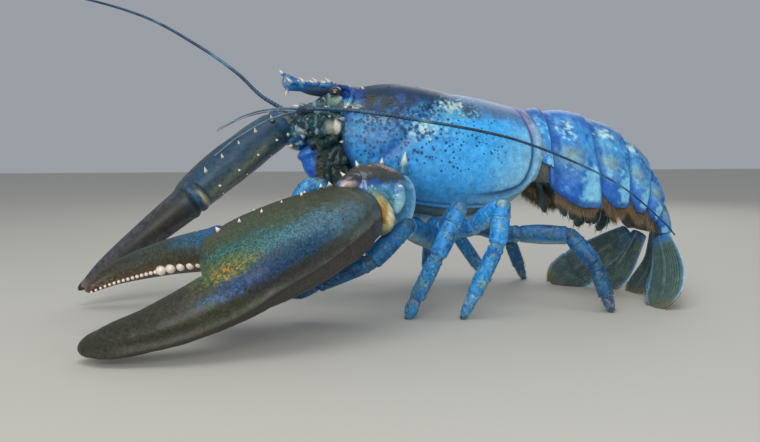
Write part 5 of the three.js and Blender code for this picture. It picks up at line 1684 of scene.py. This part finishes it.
def arm(word, side, wrist, wide, deep, lobes, arm, arm_wide, arm_deep, thorns, tall):
    near = word == "left"
    collar = ridges((-0.8, 0.86, 0.03), (0.5, 0.93, 0.03))
    knuckle = loft(
        wrist, [(0, wide * 0.72), (0.4, wide), (0.8, wide * 0.95), (1, wide * 0.7)],
        [(0, deep * 0.72), (0.4, deep), (0.8, deep * 0.92), (1, deep * 0.7)],
        ends=(0.12, 0.16), sides=80, steps=60,
        relief=lambda t, a: collar(t, a) - 0.5 * bell(np.sin(a), -0.35, 0.1) * (np.cos(a) * side > 0),
    )
    lobes = [loft(path, wide, deep, sides=sides) for path, wide, deep, sides in lobes]
    skin = fused(f"claw_{word}_wrist", [knuckle, *lobes], voxel=0.6, rounds=4)
    p = skin.points
    skin.points = p = p + skin.normals * (0.3 * mottle(p, 7, 3) + 0.12 * mottle(p, 2.6, 5))[:, None]
    fine, blur, grain = marbling(p, 3, 1), marbling(p, 7, 6), mottle(p, 1.6, 2)
    middle = Line(wrist).point(np.array(0.5))
    high = p[:, 2] - middle[2]
    tint = layered(
        p, "#3f86ac" if near else "#20606c",
        ("#2262ae" if near else "#123f94", rise(blur + grain * 0.4, -0.1, 0.5) * 0.75),
        ("#8fbfc4", rise(fine + grain * 0.5, 0.25, 0.7) * (0.6 if near else 0.85)),
        ("#8f8f4c", rise(marbling(p, 4, 9), 0.15, 0.4) * rise(high, -4, 2) * (0 if near else 0.7)),
        ("#2f3030", rise(high + fine * 2.5, 1.5, 5) * (0.95 if near else 0.5)),
        ("#473d2c", rise(high + blur * 2 + grain, 6, 11) * 0.6),
        ("#1c4a94", blot(p, (-113, -76, 78.5), (8, 6, 2.2), fine * 0.5) * 0.8),
        ("#2f5f9c", blot(p, (-99, -74, 76), (4, 5, 4), fine * 0.5) * 0.6),
        # painted highlight: a pinkish patch on the lobe that the claw hinges on
        ("#b59d90", blot(p, (-124.5, -76, 77.5), (5, 6, 2.4), fine * 0.3) * 0.85),
        ("#2a2622", blot(p, (-127, -73, 82), (7, 9, 2.4)) * 0.8),
        ("#2b2723", blot(p, (-131, -75, 74.5), (2.4, 9, 4)) * 0.6),
        ("#93c4cc", blot(p, (-97, -74, 67), (5, 7, 8), fine * 0.7) * 0.7),
    )
    node = f"claw_{word}_wrist"
    add_piece(f"{node}_shell", skin, WRIST_SHELL, "arm_shell", [node], tint, 0.2 + 0.3 * rise(fine, 0, 0.5))
    form = dict(sides=12, rings=5, fullness=0.4)
    grow(f"{node}_spines", *zip(*thorns), 4.2, 1.5, BROWN_SPINE_HORN, "arm_shell", [node], **form)

    upper = loft(
        arm, [(0, 7), (0.3, 7.5), (0.6, arm_wide * 0.85), (1, arm_wide)],
        [(0, 7.5), (0.3, 8.5), (0.6, arm_deep * 0.75), (1, arm_deep)],
        up=(0.2, 0, 1), ends=(0, 0.08), sides=90, steps=80,
        relief=ridges((0.7, 0.93, 0.025), (-0.7, 0.87, 0.025), (0.5, 0.34, 0.02), (-0.8, 0.38, 0.02)),
    )
    p, t = upper.points, upper.along
    fine, blur = marbling(p, 3, 1), marbling(p, 7, 6)
    tint = layered(
        p, "#3a84b8" if near else "#0c6ad8",
        ("#16488e" if near else "#083ca4", rise(blur + fine * 0.4, 0, 0.6) * 0.7),
        ("#7fc8e4" if near else "#4ab8f4", rise(fine, 0.1, 0.6) * 0.6),
        ("#a9cbd0", bell(t, 0.94, 0.02) * (0.7 if near else 0.2)),
        ("#2a6cb8", bell(t, 0.87, 0.03) * 0.8),
        ("#3f7f9c", rise(t, 0.96, 1) * 0.6),
        ("#cfc9a8", bell(t, 0.38, 0.025) * 0.7),
    )
    node = f"claw_{word}_arm"
    add_piece(f"{node}_shell", upper, LEG_SHELL, "arm_shell", [node], tint, 0.4 * rise(fine, -0.2, 0.5))
    at, aim, long, thick = tall
    form = dict(sides=20, rings=8, fullness=0.3)
    grow(f"{node}_spine", [at], [aim], long, thick, RIM_SPINE, "arm_shell", [node], **form)


def wrist_skin():
    """The cream and ochre joint skin that shows between the left wrist and its claw."""
    crescent = loft(
        [(-113, -76.5, 75), (-108, -79, 67.5), (-105.5, -78, 58), (-107, -74.5, 51)],
        [(0, 2.4), (0.4, 5.4), (0.75, 5.2), (1, 2)], [(0, 2), (0.5, 4.2), (1, 2)],
        ends=(0.14, 0.14), sides=48, steps=60,
        relief=lambda t, a: 0.25 * np.cos(6 * a) * np.sin(math.pi * t),
    )
    p = crescent.points
    tint = layered(
        p, "#8f8f62",
        ("#a8782c", blot(p, (-108, -80, 63.5), (2.8, 9, 6.5), marbling(p, 3) * 0.3) * 0.85),
        ("#cfcba8", blot(p, (-103.8, -80, 63), (2.4, 9, 8), marbling(p, 3, 2) * 0.3) * 0.85),
        ("#4f7478", blot(p, (-112, -77, 74), (4, 9, 4), marbling(p, 3, 2) * 0.3) * 0.8),
        ("#33403c", rise(p[:, 2], 56, 52) * 0.7),
    )
    add_piece("claw_left_wrist_skin", crescent, JOINT_SKIN, "arm_shell", ["claw_left_wrist"], tint)
    ring = loft(
        [(-138.5, 32, 109.5), (-143, 35, 114)], 9.8, 10.2, ends=(0.25, 0.25), sides=60, steps=14,
        relief=lambda t, a: 0.4 * np.cos(t * 30),
    )
    tint = layered(ring.points, "#76806c", ("#b4b69c", rise(marbling(ring.points, 3), 0, 0.5)))
    add_piece("claw_right_wrist_skin", ring, JOINT_SKIN, "arm_shell", ["claw_right_wrist"], tint)


for word, side in SIDES.items():
    arm(word, side, **ARMS[word])
wrist_skin()


# Walking legs, numbered from the front: root, hip, knee, wrist and foot of each
LEGS = {
    "leg_1_left": [(-74, -16, 49), (-65, -31, 42), (-90, -60, 54), (-111, -65, 35.5), (-152, -46, 16)],
    "leg_2_left": [(-60, -16, 49), (-60, -31, 49), (-59, -60, 63), (-72, -59, 36), (-86, -47, -0.7)],
    "leg_3_left": [(-45, -16, 49), (-43, -31, 49), (-33, -58, 64), (-37, -61, 42), (-56, -56, -0.7)],
    "leg_4_left": [(-31, -15, 49), (-20, -24, 45), (14, -48, 45), (26, -57, 28.5), (37, -58, -0.7)],
    "leg_1_right": [(-74, 16, 49), (-76, 31, 50), (-92, 58, 60), (-112, 66, 38), (-134, 70, -0.7)],
    "leg_2_right": [(-60, 16, 49), (-58, 31, 50), (-62, 60, 60), (-38, 66, 37), (-42, 62, -0.7)],
    "leg_3_right": [(-45, 16, 49), (-43, 31, 49), (-45, 58, 58), (-20, 62, 36), (5, 58, -0.7)],
    "leg_4_right": [(-31, 15, 49), (-20, 24, 44), (8, 50, 46), (20, 58, 30), (34, 62, -0.7)],
}
STOUT = {1: 1.12, 2: 1, 3: 1.04, 4: 1}  # girth of each pair against the second one
PAIR_TONE_AND_SHADE = {1: 0.55, 2: 0.85, 3: 1.1, 4: 0.42}  # how light each pair is: partly its own tone, partly painted shade where the body shadows pairs 1, 2 and 4
PINCERS = (1, 2)  # the pairs that end in a small pincer


def leg_tint(form, joints, seed, tone_and_shade, base="#2c8cd2"):
    p = form.points
    fine, blur, grain = marbling(p, 2.6, seed), marbling(p, 7, seed + 4), mottle(p, 1.5, seed + 2)
    shade = layered(
        p, base,
        ("#124c8e", rise(blur + grain * 0.5, -0.05, 0.5) * 0.75),
        ("#6cb8d8", rise(fine + grain * 0.4, 0.1, 0.5) * 0.6),
        ("#7d9c80", rise(marbling(p, 4.5, seed + 8) + grain * 0.5, 0.25, 0.7) * 0.5),
        ("#9fb4a8", rise(ringed(form, joints, 0.02) + grain * 0.3, 0.6, 1) * 0.5),
    )
    # painted shade: each pair's colour is darkened by its own tone and by the body's shadow
    return fine, shade * tone_and_shade


def leg(name, root, hip, knee, wrist, foot):
    pair, seed = int(name[4]), sum(map(ord, name))
    girth, tone_and_shade, pincer = STOUT[pair], PAIR_TONE_AND_SHADE[pair], pair in PINCERS
    hip, knee, wrist, foot = (np.array(joint, float) for joint in (hip, knee, wrist, foot))

    def keyed(*keys):
        return [(t, value * girth) for t, value in keys]

    def leg_piece(part, form, fine, tint, spots=0.8):
        node = f"{name}_{part}"
        add_piece(f"{node}_shell", form, LEG_SHELL, "leg_shell", [node], tint, spots * rise(fine, -0.3, 0.4))

    path = [root, hip, mix(hip, knee, 0.55), knee]
    upper = loft(
        path, keyed((0, 5.4), (0.3, 4.6), (0.45, 4.4), (0.7, 4.9), (1, 4.6)),
        keyed((0, 6), (0.3, 5), (0.45, 5), (0.7, 5.9), (1, 5.1)), ends=(0, 0.07), sides=44, steps=90,
        relief=ridges((0.4, 0.42, 0.02), (-0.6, 0.465, 0.012), (0.4, 0.955, 0.03), (-0.5, 0.2, 0.015)),
    )
    fine, tint = leg_tint(upper, (0.47, 0.98), seed, tone_and_shade)
    share = np.linspace(0, 1, 30)
    middle_z = np.interp(upper.along, share, Line(path).point(share)[:, 2])
    low = rise(upper.points[:, 2] - middle_z, -2, -5)
    leg_piece("upper", upper, fine, washed(tint, ("#9cbcb0", low * 0.4)))

    rims = ridges((0.3, 0.9, 0.03), (-0.45, 0.3, 0.012), (0.3, 0.26, 0.02))
    middle = loft(
        [knee, wrist], keyed((0, 4.3), (0.3, 4.8), (0.8, 4.9), (1, 4.2)),
        keyed((0, 4.5), (0.3, 5.1), (0.8, 5.1), (1, 4.2)), ends=(0.05, 0.07), sides=44, steps=60,
        relief=lambda t, a: rims(t, a) + 0.1 * np.cos(5 * a) * rise(t, 0.3, 0.5),
    )
    leg_piece("middle", middle, *leg_tint(middle, (0.0, 0.31), seed + 1, tone_and_shade), spots=0.85)

    up = (1, 0.2, 0.3)
    folds = ridges((0.3, 0.08, 0.03), (-0.3, 0.15, 0.02), (0.3, 0.93, 0.03))
    shank = loft(
        [wrist, mix(wrist, foot, 0.66)], keyed((0, 3.9), (0.2, 4.3), (0.8, 4.2), (1, 3.9)),
        keyed((0, 3.9), (0.2, 4.4), (0.8, 4.3), (1, 3.9)), up=up, ends=(0.06, 0.07), steps=50,
        relief=lambda t, a: folds(t, a) + 0.12 * np.cos(6 * a),
    )
    start = mix(wrist, foot, 0.58)
    width = keyed((0, 2.5), (0.6, 2.3), (1, 1.3)) if pincer else keyed((0, 3.6), (0.6, 3), (1, 1.3))
    toes = []
    for spread in (-1.9, 1.9) if pincer else (0,):
        turn = mix(start, foot, 0.6) + (0, spread * 1.1, spread * 0.8)
        path = [start + (spread * 0.6, 0, 0), turn, foot + (spread * 0.35, 0, 0)]
        depth = keyed((0, 3.6), (0.6, 3), (1, 1.3))
        toes.append(loft(path, width, depth, up=up, ends=(0.05, 0.09), sides=24, steps=30))
    lower = together(shank, *toes)
    p = lower.points
    p[:, 2] = np.maximum(p[:, 2], 0)
    fine, tint = leg_tint(lower, (0.0,), seed + 2, tone_and_shade, "#2680bc")
    down = rise(p[:, 2], wrist[2] * 0.55, 2) * (0.6 if pincer else 0.2)
    patch = bell(np.linalg.norm(p - mix(wrist, foot, 0.72), axis=1), 0, 4.5) * rise(fine, -0.1, 0.3)
    tint = washed(
        tint,
        ("#4a7076", down * rise(fine, -0.6, 0.4)),
        ("#b09a8c", patch * 0.6),
        ("#3b3f38", rise(np.linalg.norm(p - foot, axis=1), 6, 1) * 0.8),
    )
    leg_piece("lower", lower, fine, tint)

    # joint skin fills the gaps at the knee and the wrist
    for joint, before, at, after, radius, node in (
        ("knee", hip, knee, wrist, 4.35, "middle"), ("wrist", knee, wrist, foot, 3.8, "lower"),
    ):
        ball = loft(
            [at + unit(before - at) * 4.6, at, at + unit(after - at) * 4.6],
            keyed((0, radius * 0.8), (0.5, radius), (1, radius * 0.8)),
            keyed((0, radius * 0.85), (0.5, radius * 1.04), (1, radius * 0.85)),
            up=(0.3, 1, 0.2), ends=(0.3, 0.3), sides=32, steps=16, relief=lambda t, a: 0.12 * np.cos(t * 60),
        )
        p = ball.points
        tint = layered(
            p, "#3f7ea4",
            ("#a9b8a4", rise(marbling(p, 2.6, seed), 0, 0.5) * 0.6),
            ("#1f5590", rise(marbling(p, 5, seed), 0, 0.4) * 0.8),
        )
        # painted shade: the joint skin is darkened with its pair's tone and shadow too
        add_piece(f"{name}_{joint}_skin", ball, JOINT_SKIN, "leg_shell", [f"{name}_{node}"], tint * tone_and_shade)

    # small tufts of bristles in rows along the leg and round its foot
    roots, aims, bake = [], [], []
    for start, end, count, crowding, stout in ((knee, wrist, 60, 1, 1.12), (wrist, foot, 150, 0.6, 1)):
        along = unit(end - start)
        side = unit(np.cross(along, (0, 0, 1)))
        over = np.cross(side, along)
        for _ in range(count):
            t = chance.random() ** crowding
            angle = chance.integers(0, 6) * math.pi / 3 + chance.normal(0, 0.12)
            out = side * math.cos(angle) + over * math.sin(angle)
            radius = girth * (4.2 if t < 0.6 else mix(4.0, 1.6, (t - 0.6) / 0.4)) * stout
            roots.append(mix(start, end, 0.08 + 0.9 * t) + out * radius * 0.97)
            aims.append(out * 0.8 + along * 1.0)
            bake.append((t, angle / 6.6))
    roots = np.array(roots)
    roots[:, 2] = np.maximum(roots[:, 2], 1.5)
    long = chance.uniform(1.4, 3.0, len(roots))
    nodes = [f"{name}_lower"]
    bristles(f"{name}_tufts", roots, aims, long, BRISTLE, BRISTLE_PALE, "leg_shell", nodes, bake, 1.5)


for name, joints in LEGS.items():
    leg(name, *joints)


def floor():
    material, _, principled = bare_material("studio_floor", Roughness=0.7)
    principled.inputs["Base Color"].default_value = (*linear("#cfcbc0"), 1)
    mesh = bpy.data.meshes.new("floor")
    half = 3.0
    corners = [(-half, -half, 0), (half, -half, 0), (half, half, 0), (-half, half, 0)]
    mesh.from_pydata(corners, [], [(0, 1, 2, 3)])
    mesh.materials.append(material)
    in_scene("floor", mesh)


floor()
